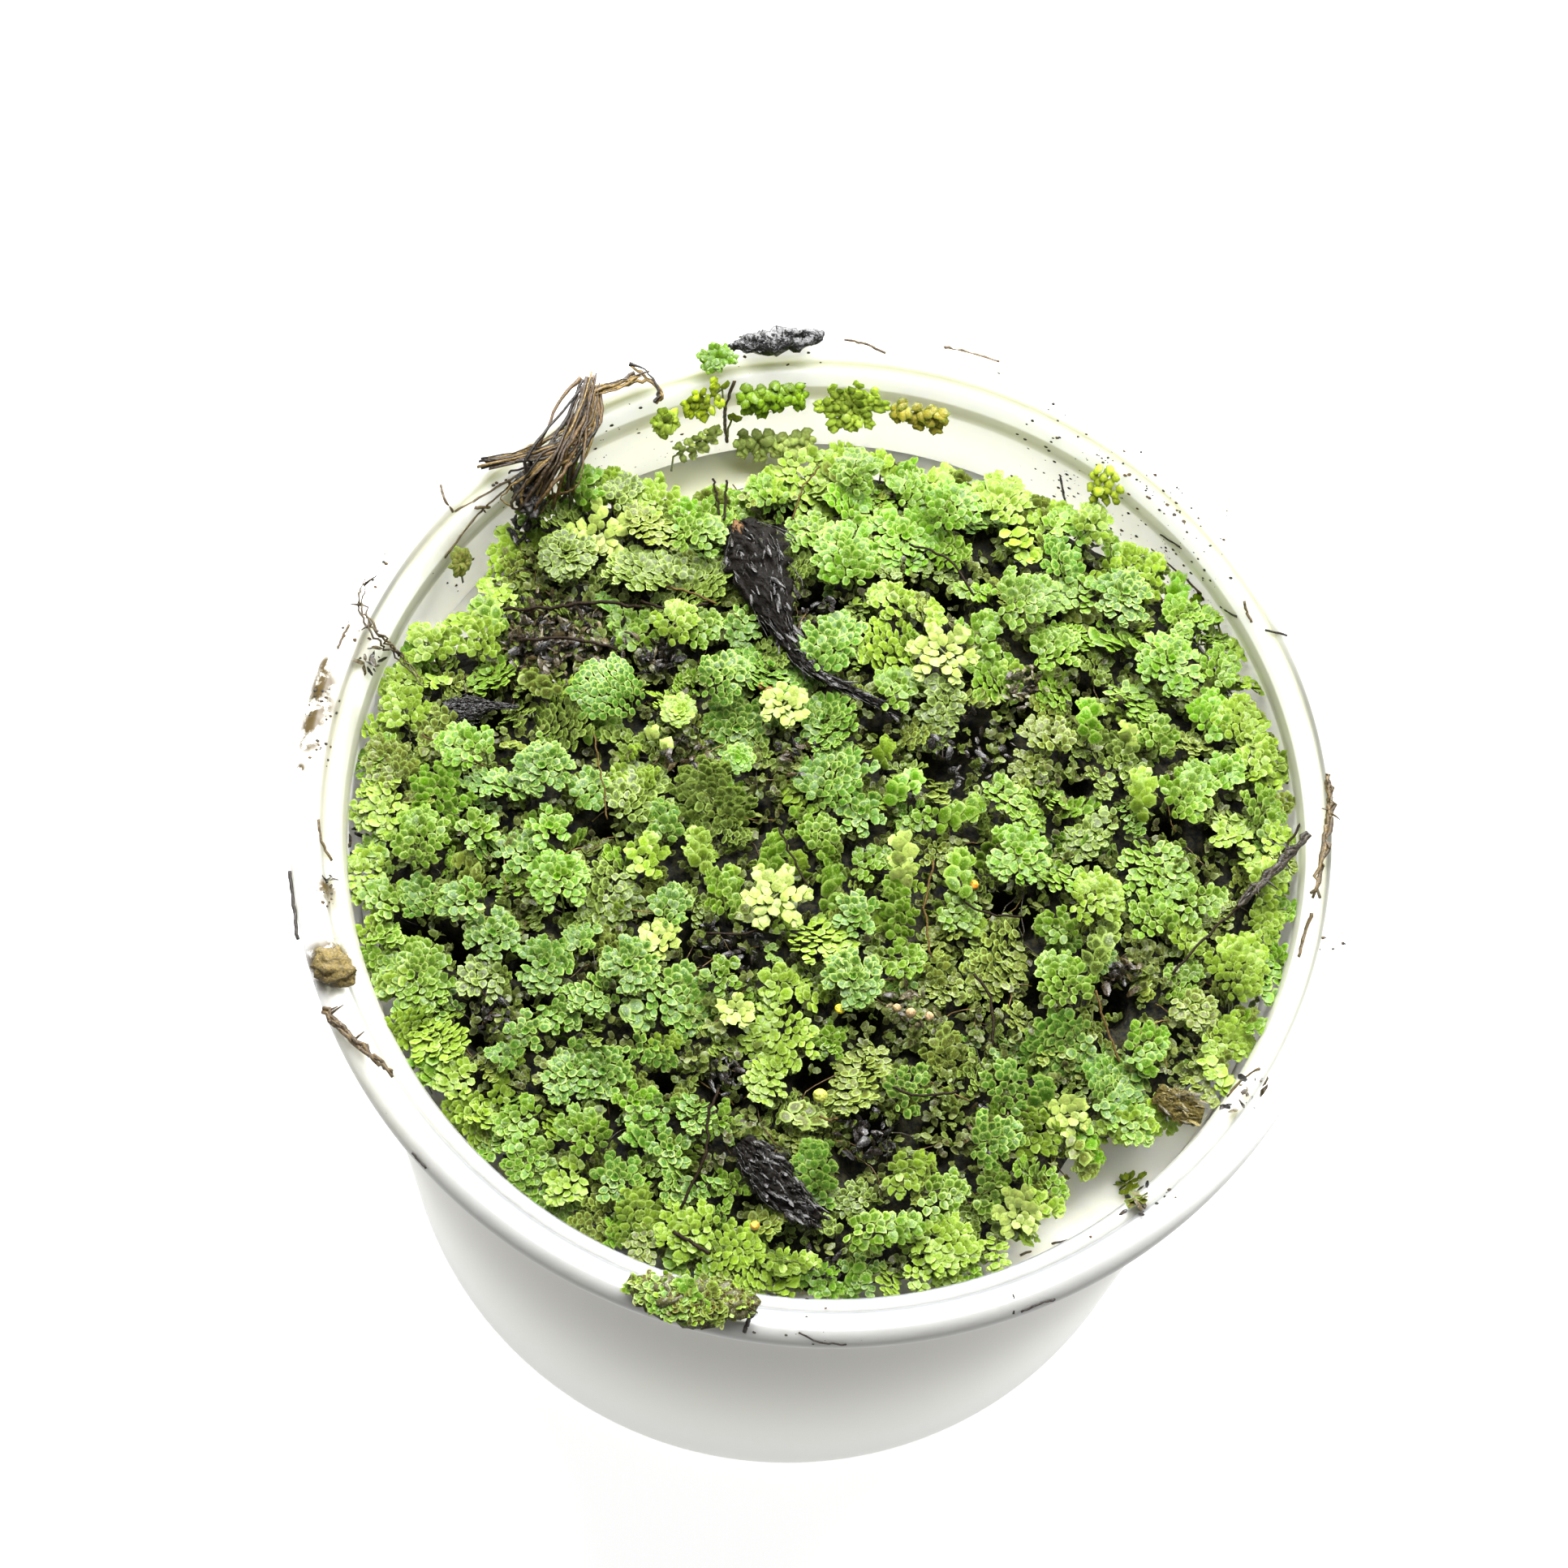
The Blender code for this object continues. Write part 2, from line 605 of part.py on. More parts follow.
def route_on_mound(rows):
    """Points of a leaf that lies on the mat, with the clearings that make room for it."""
    route, clearings = [], []
    for px, py, half_width in rows:
        lift = GAP + half_width * LEAF_FLATNESS
        spot = place(px, py, MOUND_TOP)
        for _ in range(3):
            spot = place(px, py, mound_height(spot.x, spot.y) + lift)
        route.append((spot, half_width))
        clearings.append(Clearing(spot.x, spot.y, half_width + FROND_MARGIN))
    return route, clearings


def make_dead_leaves(collection):
    """Leaves pressed onto the mat; returns the clearings under them."""
    black = make_material("black wet leaf", (0.02, 0.02, 0.02), 0.25)
    brown = make_material("brown leaf", (0.30, 0.24, 0.10), 0.4)
    clearings = []
    leaves = [("dead_leaf", DEAD_LEAF, black), ("near_dead_leaf", NEAR_DEAD_LEAF, black),
              ("brown_leaf", BROWN_LEAF, brown)]
    for name, rows, material in leaves:
        route, under = route_on_mound(rows)
        strand(name, route, material, collection, LEAF_FLATNESS)
        clearings += under
    return clearings


def make_rim_lumps(collection):
    """Bark, soil and moss that lie on the rim's bead."""
    lumps = [
        ("bark_chip", BARK_CHIP, make_material("wet bark", (0.03, 0.025, 0.02), 0.3)),
        ("soil_crumb", SOIL_CRUMB, make_material("golden soil", (0.30, 0.22, 0.09), 0.8)),
        ("moss_clump", MOSS_CLUMP, make_material("moss and soil", (0.14, 0.17, 0.05), 0.8)),
    ]
    for name, rows, material in lumps:
        route = []
        for px, py, half_width in rows:
            height = CUP_HEIGHT + GAP + half_width * LUMP_FLATNESS
            route.append((place(px, py, height), half_width))
        strand(name, route, material, collection, LUMP_FLATNESS)


def main():
    clear_scene()
    collection = bpy.data.collections.new("carolina mosquito fern in its cup")
    helpers = bpy.data.collections.new("helpers")
    for group in (collection, helpers):
        bpy.context.scene.collection.children.link(group)
    make_cup(collection)
    make_medium(collection)
    clearings = make_fronds(collection) + make_dead_leaves(collection)
    make_mat(collection, clearings)
    make_wall_fronds(collection)
    make_rim_frond(collection)
    make_root_bundle(collection, helpers)
    make_twigs(collection)
    make_rim_lumps(collection)


main()
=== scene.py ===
"""Looks of the Carolina mosquito fern that grows in a culture cup.

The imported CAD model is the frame. All sizes are in metres. The origin is on the table under the
middle of the cup, +Z is up and -Y faces the viewer.
"""

import math
import random

import bpy
import numpy as np
from mathutils import Matrix, Vector, noise

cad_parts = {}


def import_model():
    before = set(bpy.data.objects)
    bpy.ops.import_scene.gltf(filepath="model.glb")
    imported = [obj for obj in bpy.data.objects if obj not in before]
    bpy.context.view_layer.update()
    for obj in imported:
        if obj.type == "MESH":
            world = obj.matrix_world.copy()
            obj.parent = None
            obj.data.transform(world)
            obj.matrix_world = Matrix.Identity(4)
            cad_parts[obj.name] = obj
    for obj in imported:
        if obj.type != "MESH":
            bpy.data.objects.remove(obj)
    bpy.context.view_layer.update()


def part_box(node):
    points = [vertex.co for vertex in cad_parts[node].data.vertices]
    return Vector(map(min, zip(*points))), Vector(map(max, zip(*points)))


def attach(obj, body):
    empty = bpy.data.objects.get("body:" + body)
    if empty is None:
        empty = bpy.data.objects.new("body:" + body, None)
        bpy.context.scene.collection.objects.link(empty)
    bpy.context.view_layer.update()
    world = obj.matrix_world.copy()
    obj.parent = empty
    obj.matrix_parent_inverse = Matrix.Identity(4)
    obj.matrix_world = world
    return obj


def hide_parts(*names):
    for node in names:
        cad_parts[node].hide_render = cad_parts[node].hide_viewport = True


# Cup: the sizes that its solid was made from
BASE_RADIUS = 0.0353
NECK_RADIUS = 0.0381
NECK_HEIGHT = 0.0768
WALL = 0.0012
BEAD_RADIUS = 0.00135
SEAT_TOP = (0.0377, 0.0789)
SEAT_FOOT = (0.0368, 0.0764)
HEEL_RADIUS = 0.0022
FOOT_RING_WIDTH = 0.0026
FOOT_RECESS = 0.0008
FLOOR_THICKNESS = 0.0011
SOFT_EDGE = 0.0003
TURNED_STEPS = 256
SEARCH_STEP = 0.00005

# Bands over which the cup's colours change: along its height, away from its axis, from near to far
# and from left to right
HEEL_BAND = (0.0005, 0.0045)
WALL_SHADE_BAND = (0.0, 0.060)
BELOW_GEL_BAND = (0.062, 0.066)
GEL_EDGE_BAND = (0.066, 0.068)
RIM_BAND = (0.0752, 0.0757)
NECK_BAND = (0.0762, 0.0772)
SEAT_FOOT_BAND = (0.0369, 0.0376)
# Across these two bands the painted shade of the rim's lines changes from near to the sides and to far
NEAR_TO_SIDE = (-0.034, -0.012)
SIDE_TO_FAR = (0.012, 0.028)
LEFT_TO_MIDDLE = (-0.038, -0.022)

# Colours of the cup and of the medium
RIM_COLOUR = (0.86, 0.86, 0.86)
# Painted shade on the outer wall: light at its foot, darkening toward the shade under the rim
WALL_PAINTED_SHADES = ((0.87, 0.87, 0.78), (0.212, 0.205, 0.165))
# Cream of the inner wall above the medium: a stained tint of the plastic, made brighter than the rim as
# painted light shining through the wall; at the heel it is painted light on the foot of the outer wall
CREAM_COLOUR = (0.98, 0.97, 0.83)
RIM_TINT = (0.34, 0.33, 0.25)
DUST_COLOUR = (0.10, 0.075, 0.035)
GEL_SHADES = ((0.90, 0.90, 0.76), (0.94, 0.93, 0.84))
FILM_COLOUR = (0.97, 0.98, 0.70)

# Painted shade: darker lines along the rim's grooves and the bead's edges, darkest on the near side:
# distance from the axis, half width, colours near, at the sides and far
RIM_SHADE_LINES = [
    (0.04100, 0.00030, (0.24, 0.24, 0.24), (0.07, 0.07, 0.06), (0.06, 0.06, 0.06)),
    (0.04045, 0.00080, (0.30, 0.30, 0.29), (0.86, 0.86, 0.86), (0.86, 0.86, 0.86)),
    (0.03875, 0.00085, (0.20, 0.205, 0.205), (0.86, 0.86, 0.86), (0.86, 0.86, 0.86)),
    (0.03840, 0.00040, (0.16, 0.165, 0.17), (0.20, 0.20, 0.17), (0.82, 0.82, 0.78)),
    (0.03805, 0.00045, (0.20, 0.20, 0.19), (0.60, 0.60, 0.50), (0.58, 0.59, 0.46)),
    (0.03725, 0.00070, (0.27, 0.29, 0.33), (0.80, 0.80, 0.76), (0.86, 0.86, 0.84)),
    (0.03690, 0.00022, (0.16, 0.16, 0.16), (0.42, 0.42, 0.34), (0.60, 0.60, 0.54)),
]
RIM_SHADE_SHARE = 0.92

# Brown stains on the left of the rim: x and y in pixels, reach in metres
STAIN_HEIGHT = 0.0798
STAIN_COLOUR = (0.062, 0.040, 0.006)
STAINS = [
    (397, 842, 0.0016), (391, 868, 0.0018), (385, 894, 0.0014), (381, 915, 0.0012), (407, 1186, 0.0030),
    (400, 820, 0.0012), (368, 948, 0.0008), (408, 1092, 0.0016), (418, 1110, 0.0014),
]

# Culture medium and the mound of fern on it
MEDIUM_TOP = 0.0680
MENISCUS = 0.0007
GEL_RINGS = 12
GAP = 0.00035
MOUND_CENTRE = (0.0, -0.002)
MOUND_TOP = 0.0784
MOUND_DROP = 0.0032
MOUND_REACH = 0.036
NORMAL_STEP = 0.0005
MAT_MAX_RADIUS = 0.0361

# The place that the photograph was taken from, for a square frame 1932 pixels wide
VIEW_FRAME = 1932.0
VIEW_ELEVATION = math.radians(70.39)
VIEW_ROLL = math.radians(7.31)
VIEW_DISTANCE = 0.328
VIEW_FOCAL = 5278.0
VIEW_OFFSET = (53.1, 44.5)
VIEW_TARGET_HEIGHT = 0.0786
SENSOR = 36.0
PIXEL = 0.041 / 659.0

# Lights: name, place, size and power
LIGHTS = [
    ("softbox", (0.04, 0.30, 0.62), 0.60, 16.5),
    ("back glow", (0.0, 0.60, 0.22), 0.50, 11.0),
    ("glint", (-0.18, 0.16, 0.55), 0.05, 1.0),
]
LIT_POINT = Vector((0, 0, 0.06))
WORLD_STRENGTH = 0.22
FLOOR_SHADES = ((0.20, 0.20, 0.20), (0.22, 0.22, 0.22))

# Leaf lobes and branches
LOBE_SIDES = 7
LOBE_LENGTH = 0.00082
LOBE_WIDTH = 0.00073
LOBE_THICKNESS = 0.00010
LOBE_STEP = 0.42
UNEVEN_LENGTH = 0.13
UNEVEN_WIDTH = 0.22
UNEVEN_MARGIN = 0.06
LEAF_MOTTLES = ((0.72, 0.74, 0.70), (1.18, 1.16, 1.10))
PAPILLA_AND_SPARKLE_COLOUR = (0.34, 0.44, 0.13)
PALE_MARGIN = (0.27, 0.38, 0.075)
# Dark margin of the lobes on the wall: painted shade in the gaps between them
GAP_SHADE_MARGIN = (0.055, 0.110, 0.004)
STEM_RADIUS = 0.00010
STALK_DEPTH = 0.0012
LOW_DOME = 0.0003

# Lobes at the tip of a branch and of a closed bud: turn and pitch in degrees, share of a lobe
TIP_LOBES = ((30, 34, 0.80), (-32, 36, 0.78), (0, 46, 0.66))
BUD_LOBES = ((0, 20, 1.6), (35, 34, 1.3), (-35, 34, 1.3), (0, 60, 0.9))

# Branches of a plant: their spacing, the shortest ones, and half the size from which more are made
BRANCH_SPACING = 0.00096
ROSETTE_SPACING = 0.0023
SHORTEST_BRANCH = 0.0002
SHORTEST_FORK = 0.0003
FORKED_FROM = 0.0022
WIDE_SPRAY = 0.0025
GOLDEN_ANGLE = math.radians(137.5)

# Plants on the inner wall: larger, thicker lobes, more of them old
WALL_LOBE = 0.00098
WALL_PLUMPNESS = 2.6
WALL_AGE = 0.55
WALL_FROND_LEAN = math.radians(52)

# Edge of the fern mat as seen, read one by one: x and y in pixels
MAT_EDGE_PIXELS = [
    (448, 1000), (464, 880), (494, 805), (548, 775), (600, 745), (612, 640),
    (700, 575), (770, 600), (830, 625), (900, 622), (935, 590), (1000, 560),
    (1130, 572), (1280, 612), (1390, 660), (1450, 710), (1530, 800), (1590, 910),
    (1612, 1000), (1610, 1080), (1580, 1240), (1500, 1330), (1420, 1385), (1345, 1425),
    (1290, 1490), (1230, 1560), (1100, 1600), (975, 1605), (850, 1590), (700, 1530),
    (560, 1400), (470, 1280), (430, 1150),
]
MAT_EDGE_HEIGHT = 0.0755

# Gaps in the fern that look down on the dark water: x and y in pixels, radius in pixels
HOLES = [
    (1205, 928, 44), (1170, 935, 30), (870, 1165, 30), (905, 1178, 24), (1248, 1118, 30),
    (1290, 1222, 32), (1062, 1250, 30), (520, 1148, 26), (600, 1258, 26), (1342, 858, 26),
    (1012, 1558, 24), (1072, 1405, 34), (1012, 742, 30), (1170, 735, 20), (590, 872, 30),
    (802, 815, 24), (1330, 950, 18), (1440, 1010, 20), (1215, 700, 16), (745, 1025, 18),
    (700, 1100, 14), (1370, 1230, 22), (1210, 1230, 20), (900, 1330, 24), (560, 1160, 20),
    (850, 945, 22), (985, 930, 20), (1000, 1320, 22), (650, 1235, 20), (1120, 720, 16),
    (1440, 1275, 18), (930, 1000, 16), (760, 1290, 14), (1160, 1400, 22), (1300, 1440, 18),
    (640, 1180, 14), (1480, 1060, 16), (1080, 900, 14), (1255, 870, 20), (820, 1330, 16),
]
HOLE_DEPTH = 0.0046

# Dark bed under the plants: rings and segments of its mesh, depth under the mound, colours
UNDERSTORY_MESH = (84, 230)
UNDERSTORY_DEPTH = 0.0021
UNDERSTORY_SHADES = ((0.003, 0.004, 0.005), (0.026, 0.024, 0.010))
UNDERSTORY_GRAIN = 0.0005

# Litter of old lobes and threads: how many clusters of lobes lie all over the mat, and how many for
# each metre of a dead patch's radius
LITTER_COUNT = 3500
LITTER_PER_METRE = 14000
LITTER_INSET = 0.0006
LITTER_TONES = ((0.045, 0.050, 0.012), (0.060, 0.078, 0.014), (0.030, 0.026, 0.010),
                (0.090, 0.105, 0.026), (0.050, 0.070, 0.010))
OLD_THREADS = 320
OLD_THREAD_TONES = ((0.06, 0.035, 0.012), (0.12, 0.07, 0.02), (0.02, 0.015, 0.01))

# Open water at the far edge, with an olive film on it: x and y in pixels, radius in metres
OPEN_WATER = (885, 585)
OPEN_WATER_RADIUS = 0.0062

# Patches of dead, brown fern with few green plants: x and y in pixels, radius in pixels
DEAD_PATCHES = [
    (690, 760, 70), (640, 700, 36), (850, 925, 34), (960, 950, 34), (1130, 1245, 36),
    (630, 1250, 34), (1230, 1280, 44), (1420, 1200, 30), (880, 1300, 30), (1180, 1380, 36),
    (640, 620, 26), (1450, 1290, 30), (1290, 960, 24), (640, 1110, 22), (930, 1420, 40),
]

# Greens of the lobes; the lit greens are lighter copies with painted light, for the fronds and sprigs on the
# wall that light shines through
TONES = {
    "bright": (0.060, 0.160, 0.001),
    "fresh": (0.056, 0.126, 0.002),
    "blue": (0.036, 0.104, 0.006),
    "yellow": (0.124, 0.204, 0.010),
    "pale": (0.240, 0.300, 0.066),
    "grey": (0.048, 0.074, 0.008),
    "olive": (0.072, 0.086, 0.010),
    "brown": (0.060, 0.040, 0.010),
    "lit": (0.170, 0.310, 0.006),
    "lit yellow": (0.300, 0.390, 0.010),
    "lit low": (0.420, 0.580, 0.060),
    "lit dim": (0.760, 0.960, 0.240),
    "lit olive": (0.260, 0.330, 0.020),
    "lit brown": (0.150, 0.150, 0.035),
    "lit rust": (0.330, 0.280, 0.030),
}
OLD_TONE = (0.050, 0.060, 0.010)
TIP_TONE = (0.190, 0.280, 0.020)

# How much of the margin's colour shows on the lobes of each green
MARGIN_SHARES = {"bright": 0.55, "fresh": 0.60, "blue": 0.62, "yellow": 0.50, "pale": 0.45, "grey": 0.50}

# Materials of dead matter: name, roughness, grain in metres, coat, and specular where it is not usual
TONED = {
    "wet": ("wet dead matter", 0.6, 0.00025, 0.10),
    "black": ("black wet leaf", 0.6, 0.00018, 0.02, 0.06),
    "glossy": ("glossy bark", 0.35, 0.00070, 0.50),
    "wet shine": ("wet shine", 0.30, 0.00020, 0.38, 0.35),
    "dry": ("soil", 0.9, 0.0002, 0.0),
}
GRIT_SHADES = ((0.55, 0.52, 0.50), (1.35, 1.30, 1.20))

# Single fronds, in the order of their solids: form, heading in degrees, green
FRONDS = [
    ("fan", 100, "bright"), ("rosette", 20, "grey"), ("fan", 10, "fresh"), ("fan", 80, "yellow"),
    ("fan", 45, "blue"), ("petals", 60, "pale"), ("fan", 120, "bright"), ("fan", 90, "fresh"),
    ("fan", 60, "bright"), ("fan", 30, "fresh"), ("fan", 75, "yellow"), ("rosette", 50, "blue"),
    ("petals", 140, "pale"), ("rosette", 100, "bright"), ("scaly", 160, "blue"),
    ("fan", 130, "yellow"), ("fan", 170, "bright"), ("rosette", 40, "blue"), ("fan", 85, "fresh"),
    ("rosette", 110, "bright"), ("fan", 200, "blue"), ("rosette", 10, "blue"),
    ("rosette", 70, "blue"), ("petals", 50, "pale"), ("rosette", 0, "bright"),
    ("fan", 30, "yellow"), ("spike", 88, "yellow"), ("fan", 60, "yellow"), ("fan", 75, "yellow"),
    ("fan", 140, "fresh"), ("rosette", 120, "blue"), ("spike", 95, "pale"),
    ("pinnate", 15, "fresh"), ("pinnate", 5, "yellow"), ("fan", 150, "fresh"), ("fan", 35, "blue"),
]

# Single fronds, by number, whose slot is named after another green than the one of their lobes
OTHER_SLOTS = {4: "fresh", 7: "fresh", 26: "pale", 27: "pale"}

# Fronds on the inner wall, in the order of their solids: size in pixels, form, aspect, heading in
# degrees, green, and the green that names the slot
WALL_FRONDS = [
    (66, "fan", 0.75, 200, "lit yellow", "yellow"), (80, "comb", 0.62, 0, "lit", "bright"),
    (100, "sprays", 0.80, 0, "lit low", "bright"), (64, "comb", 0.70, 0, "lit rust", "brown"),
    (44, "cone", 0.90, 60, "lit brown", "brown"), (44, "sprays", 0.85, 90, "lit low", "blue"),
    (84, "fan", 0.42, 20, "lit dim", "grey"), (96, "comb", 0.50, 0, "lit dim", "grey"),
    (52, "scaly", 0.85, -60, "lit olive", "bright"),
]

# Frond on the far rim: form, size in pixels, green
RIM_FROND = ("sprays", 54, "fresh")

# Small sprigs on the wall and at the near edge: x and y in pixels, size, form, heading, green
SPRIGS = [
    (1484, 749, 48, "sprays", 60, "lit"), (1512, 770, 26, "fan", 100, "lit olive"),
    (1400, 1466, 44, "rosette", 20, "lit olive"), (1412, 1486, 34, "fan", 240, "brown"),
    (898, 512, 24, "fan", 90, "lit yellow"), (972, 572, 22, "fan", 80, "lit low"),
]

# Other plants that stand out in the mat: x and y in pixels, width in pixels, form, heading, green
PLANTS = [
    (765, 605, 64, "fan", 80, "grey"), (875, 637, 56, "fan", 0, "fresh"),
    (590, 785, 72, "fan", 100, "yellow"), (862, 772, 60, "fan", 40, "fresh"),
    (1235, 615, 92, "fan", 70, "yellow"), (1500, 820, 66, "fan", 80, "fresh"),
    (1020, 790, 100, "fan", 70, "blue"), (1342, 885, 70, "spike", 95, "bright"),
    (1540, 890, 84, "fan", 100, "yellow"), (1560, 930, 70, "fan", 80, "yellow"),
    (485, 870, 74, "fan", 120, "yellow"), (475, 940, 80, "fan", 140, "olive"),
    (588, 1020, 60, "rosette", 30, "fresh"), (676, 1018, 62, "rosette", 80, "bright"),
    (723, 972, 62, "fan", 60, "blue"), (523, 1105, 62, "fan", 150, "blue"),
    (452, 1112, 70, "fan", 170, "fresh"), (823, 1115, 62, "fan", 80, "blue"),
    (672, 1187, 80, "rosette", 20, "blue"), (598, 1205, 70, "fan", 200, "grey"),
    (862, 1045, 72, "spike", 100, "yellow"), (818, 1012, 60, "fan", 110, "blue"),
    (797, 1055, 66, "petals", 60, "yellow"), (910, 933, 46, "cone", 0, "bright"),
    (836, 873, 50, "cone", 20, "yellow"), (806, 900, 30, "bud", 80, "pale"),
    (822, 915, 30, "bud", 70, "pale"), (890, 1200, 54, "rosette", 10, "fresh"),
    (727, 1227, 62, "fan", 220, "blue"), (906, 1244, 50, "petals", 0, "pale"),
    (782, 1358, 62, "rosette", 50, "bright"), (826, 1414, 62, "rosette", 15, "blue"),
    (1464, 975, 90, "fan", 60, "fresh"), (1390, 905, 44, "spike", 90, "pale"),
    (1560, 1000, 74, "fan", 70, "fresh"), (1412, 1290, 72, "fan", 40, "bright"),
    (1186, 1003, 84, "spike", 30, "fresh"), (1114, 970, 74, "spike", 40, "bright"),
    (1055, 1126, 66, "rosette", 70, "blue"), (1112, 1180, 58, "fan", 10, "fresh"),
    (1315, 1373, 60, "petals", 20, "pale"), (1395, 1385, 64, "fan", 320, "fresh"),
    (1003, 1440, 76, "fan", 110, "blue"), (1170, 1550, 92, "fan", 340, "yellow"),
    (1255, 1490, 70, "petals", 70, "pale"), (850, 1512, 84, "fan", 200, "yellow"),
    (902, 1552, 76, "fan", 10, "yellow"), (1105, 850, 70, "fan", 60, "fresh"),
    (1210, 780, 70, "fan", 80, "fresh"), (1300, 800, 76, "fan", 40, "fresh"),
    (1100, 740, 64, "fan", 150, "yellow"), (1000, 655, 70, "fan", 160, "fresh"),
    (945, 605, 58, "fan", 140, "fresh"), (1120, 600, 66, "fan", 70, "fresh"),
    (1305, 690, 70, "fan", 110, "blue"), (1450, 760, 62, "fan", 60, "fresh"),
    (1490, 880, 76, "fan", 80, "bright"), (1420, 900, 66, "fan", 120, "fresh"),
    (1590, 1150, 62, "fan", 30, "yellow"), (1480, 1110, 66, "fan", 20, "fresh"),
    (1420, 1130, 64, "fan", 150, "fresh"), (1060, 1000, 70, "rosette", 60, "blue"),
    (1010, 1030, 60, "fan", 90, "fresh"), (700, 1330, 64, "fan", 240, "blue"),
    (640, 1380, 66, "fan", 210, "fresh"), (760, 1450, 70, "rosette", 0, "blue"),
    (690, 1470, 66, "fan", 230, "yellow"), (1160, 1470, 70, "fan", 20, "fresh"),
    (1240, 1340, 70, "fan", 80, "blue"), (1120, 1340, 70, "fan", 60, "blue"),
    (960, 1210, 56, "petals", 90, "yellow"), (1180, 1120, 60, "fan", 0, "fresh"),
    (1470, 1240, 64, "fan", 340, "olive"), (560, 1330, 60, "fan", 210, "yellow"),
]

# Greens of the plants between: x and y in pixels, green; a place takes the nearest row's green
GREEN_MAP = [
    (480, 880, "yellow"), (470, 980, "fresh"), (450, 1100, "fresh"), (500, 1220, "fresh"),
    (560, 1330, "yellow"), (640, 1430, "fresh"), (740, 1500, "yellow"), (850, 1560, "yellow"),
    (560, 830, "yellow"), (620, 900, "grey"), (640, 1000, "blue"), (560, 1180, "blue"),
    (620, 1280, "blue"), (700, 1350, "blue"), (760, 1420, "blue"), (680, 1150, "blue"),
    (760, 1080, "blue"), (740, 920, "grey"), (700, 800, "olive"), (680, 660, "grey"),
    (780, 690, "grey"), (830, 620, "grey"), (800, 820, "fresh"), (900, 880, "blue"),
    (900, 1000, "grey"), (850, 1100, "fresh"), (820, 1250, "blue"), (860, 1400, "blue"),
    (950, 600, "fresh"), (1080, 640, "bright"), (1180, 600, "fresh"), (1290, 640, "yellow"),
    (1180, 700, "fresh"), (1100, 780, "yellow"), (1020, 850, "blue"), (1060, 930, "fresh"),
    (1230, 840, "grey"), (1300, 760, "fresh"), (1400, 690, "yellow"), (1460, 740, "fresh"),
    (1400, 850, "fresh"), (1530, 840, "yellow"), (1590, 950, "yellow"), (1500, 940, "bright"),
    (1300, 930, "olive"), (1340, 1000, "grey"), (1200, 980, "fresh"), (1130, 1060, "fresh"),
    (1000, 1080, "fresh"), (1000, 1170, "yellow"), (960, 1280, "yellow"), (1040, 1320, "olive"),
    (1130, 1270, "olive"), (1200, 1340, "grey"), (1280, 1300, "blue"), (1230, 1180, "olive"),
    (1300, 1120, "fresh"), (1400, 1080, "fresh"), (1400, 1200, "grey"), (1480, 1180, "yellow"),
    (1560, 1100, "yellow"), (1590, 1200, "yellow"), (1500, 1290, "olive"), (1400, 1360, "blue"),
    (1330, 1400, "yellow"), (1230, 1470, "fresh"), (1120, 1430, "grey"), (1050, 1480, "fresh"),
    (1150, 1540, "yellow"), (1020, 1570, "yellow"), (930, 1500, "olive"), (560, 960, "bright"),
]

# Greens of the plants that lie anywhere, in the lower layer and along the edge, more likely ones twice
ODD_GREENS = 0.16
ANY_GREEN = ("fresh", "fresh", "yellow", "blue", "grey", "olive", "pale")
LOW_GREENS = ("olive", "olive", "grey", "grey", "fresh", "yellow", "blue")
EDGE_GREENS = ("yellow", "yellow", "fresh", "bright", "olive")
# Painted light: how much brighter the plants are made toward the far wall
FAR_PAINTED_LIGHT = 0.4

# Plants between the large ones and in the lower layer: radii, how many tries for each radius, and
# the least distance of two plants as a share of the radius; spacing of the plants along the edge
FILL_RADII = (0.0029, 0.0024, 0.0019, 0.0015, 0.0012)
FILL_TRIES = 1100
FILL_PACKING = 0.50
LOW_RADII = (0.0018, 0.0013)
LOW_TRIES = 3200
LOW_PACKING = 0.53
EDGE_SPACING = 0.0023
CARPET_SECTORS = 6

# Dead leaves on the mat: name, route as x and y in pixels and half width, colour, slot, how many
# fibres and flakes lie on them
LEAVES = [
    ("dead_leaf", [(908, 646, 0.0012), (928, 678, 0.0024), (944, 722, 0.0021), (962, 768, 0.0011),
                   (992, 818, 0.0005), (1046, 850, 0.0004), (1112, 882, 0.0003)],
     (0.006, 0.005, 0.004), "black_leaf", 60, 110),
    ("near_dead_leaf", [(912, 1408, 0.0009), (940, 1438, 0.0017), (972, 1474, 0.0013),
                        (1010, 1506, 0.0004)], (0.006, 0.005, 0.004), "black_leaf", 60, 110),
    ("brown_leaf", [(1424, 1346, 0.0007), (1450, 1362, 0.0012), (1482, 1374, 0.0007)],
     (0.085, 0.070, 0.020), "brown_leaf", 24, 24),
]
LEAF_FLATNESS = 0.3
BLADE_COLUMNS = 26
TAN_SPOT = (910, 655)
TAN_TONE = (0.13, 0.075, 0.035)

# Flat black sheath at the left: x and y in pixels, half width
BLACK_SHEATH = [(546, 876, 0.0007), (562, 873, 0.0009), (584, 872, 0.0009), (604, 870, 0.0004),
                (640, 872, 0.0001)]
SHEATH_FIBRES = 60

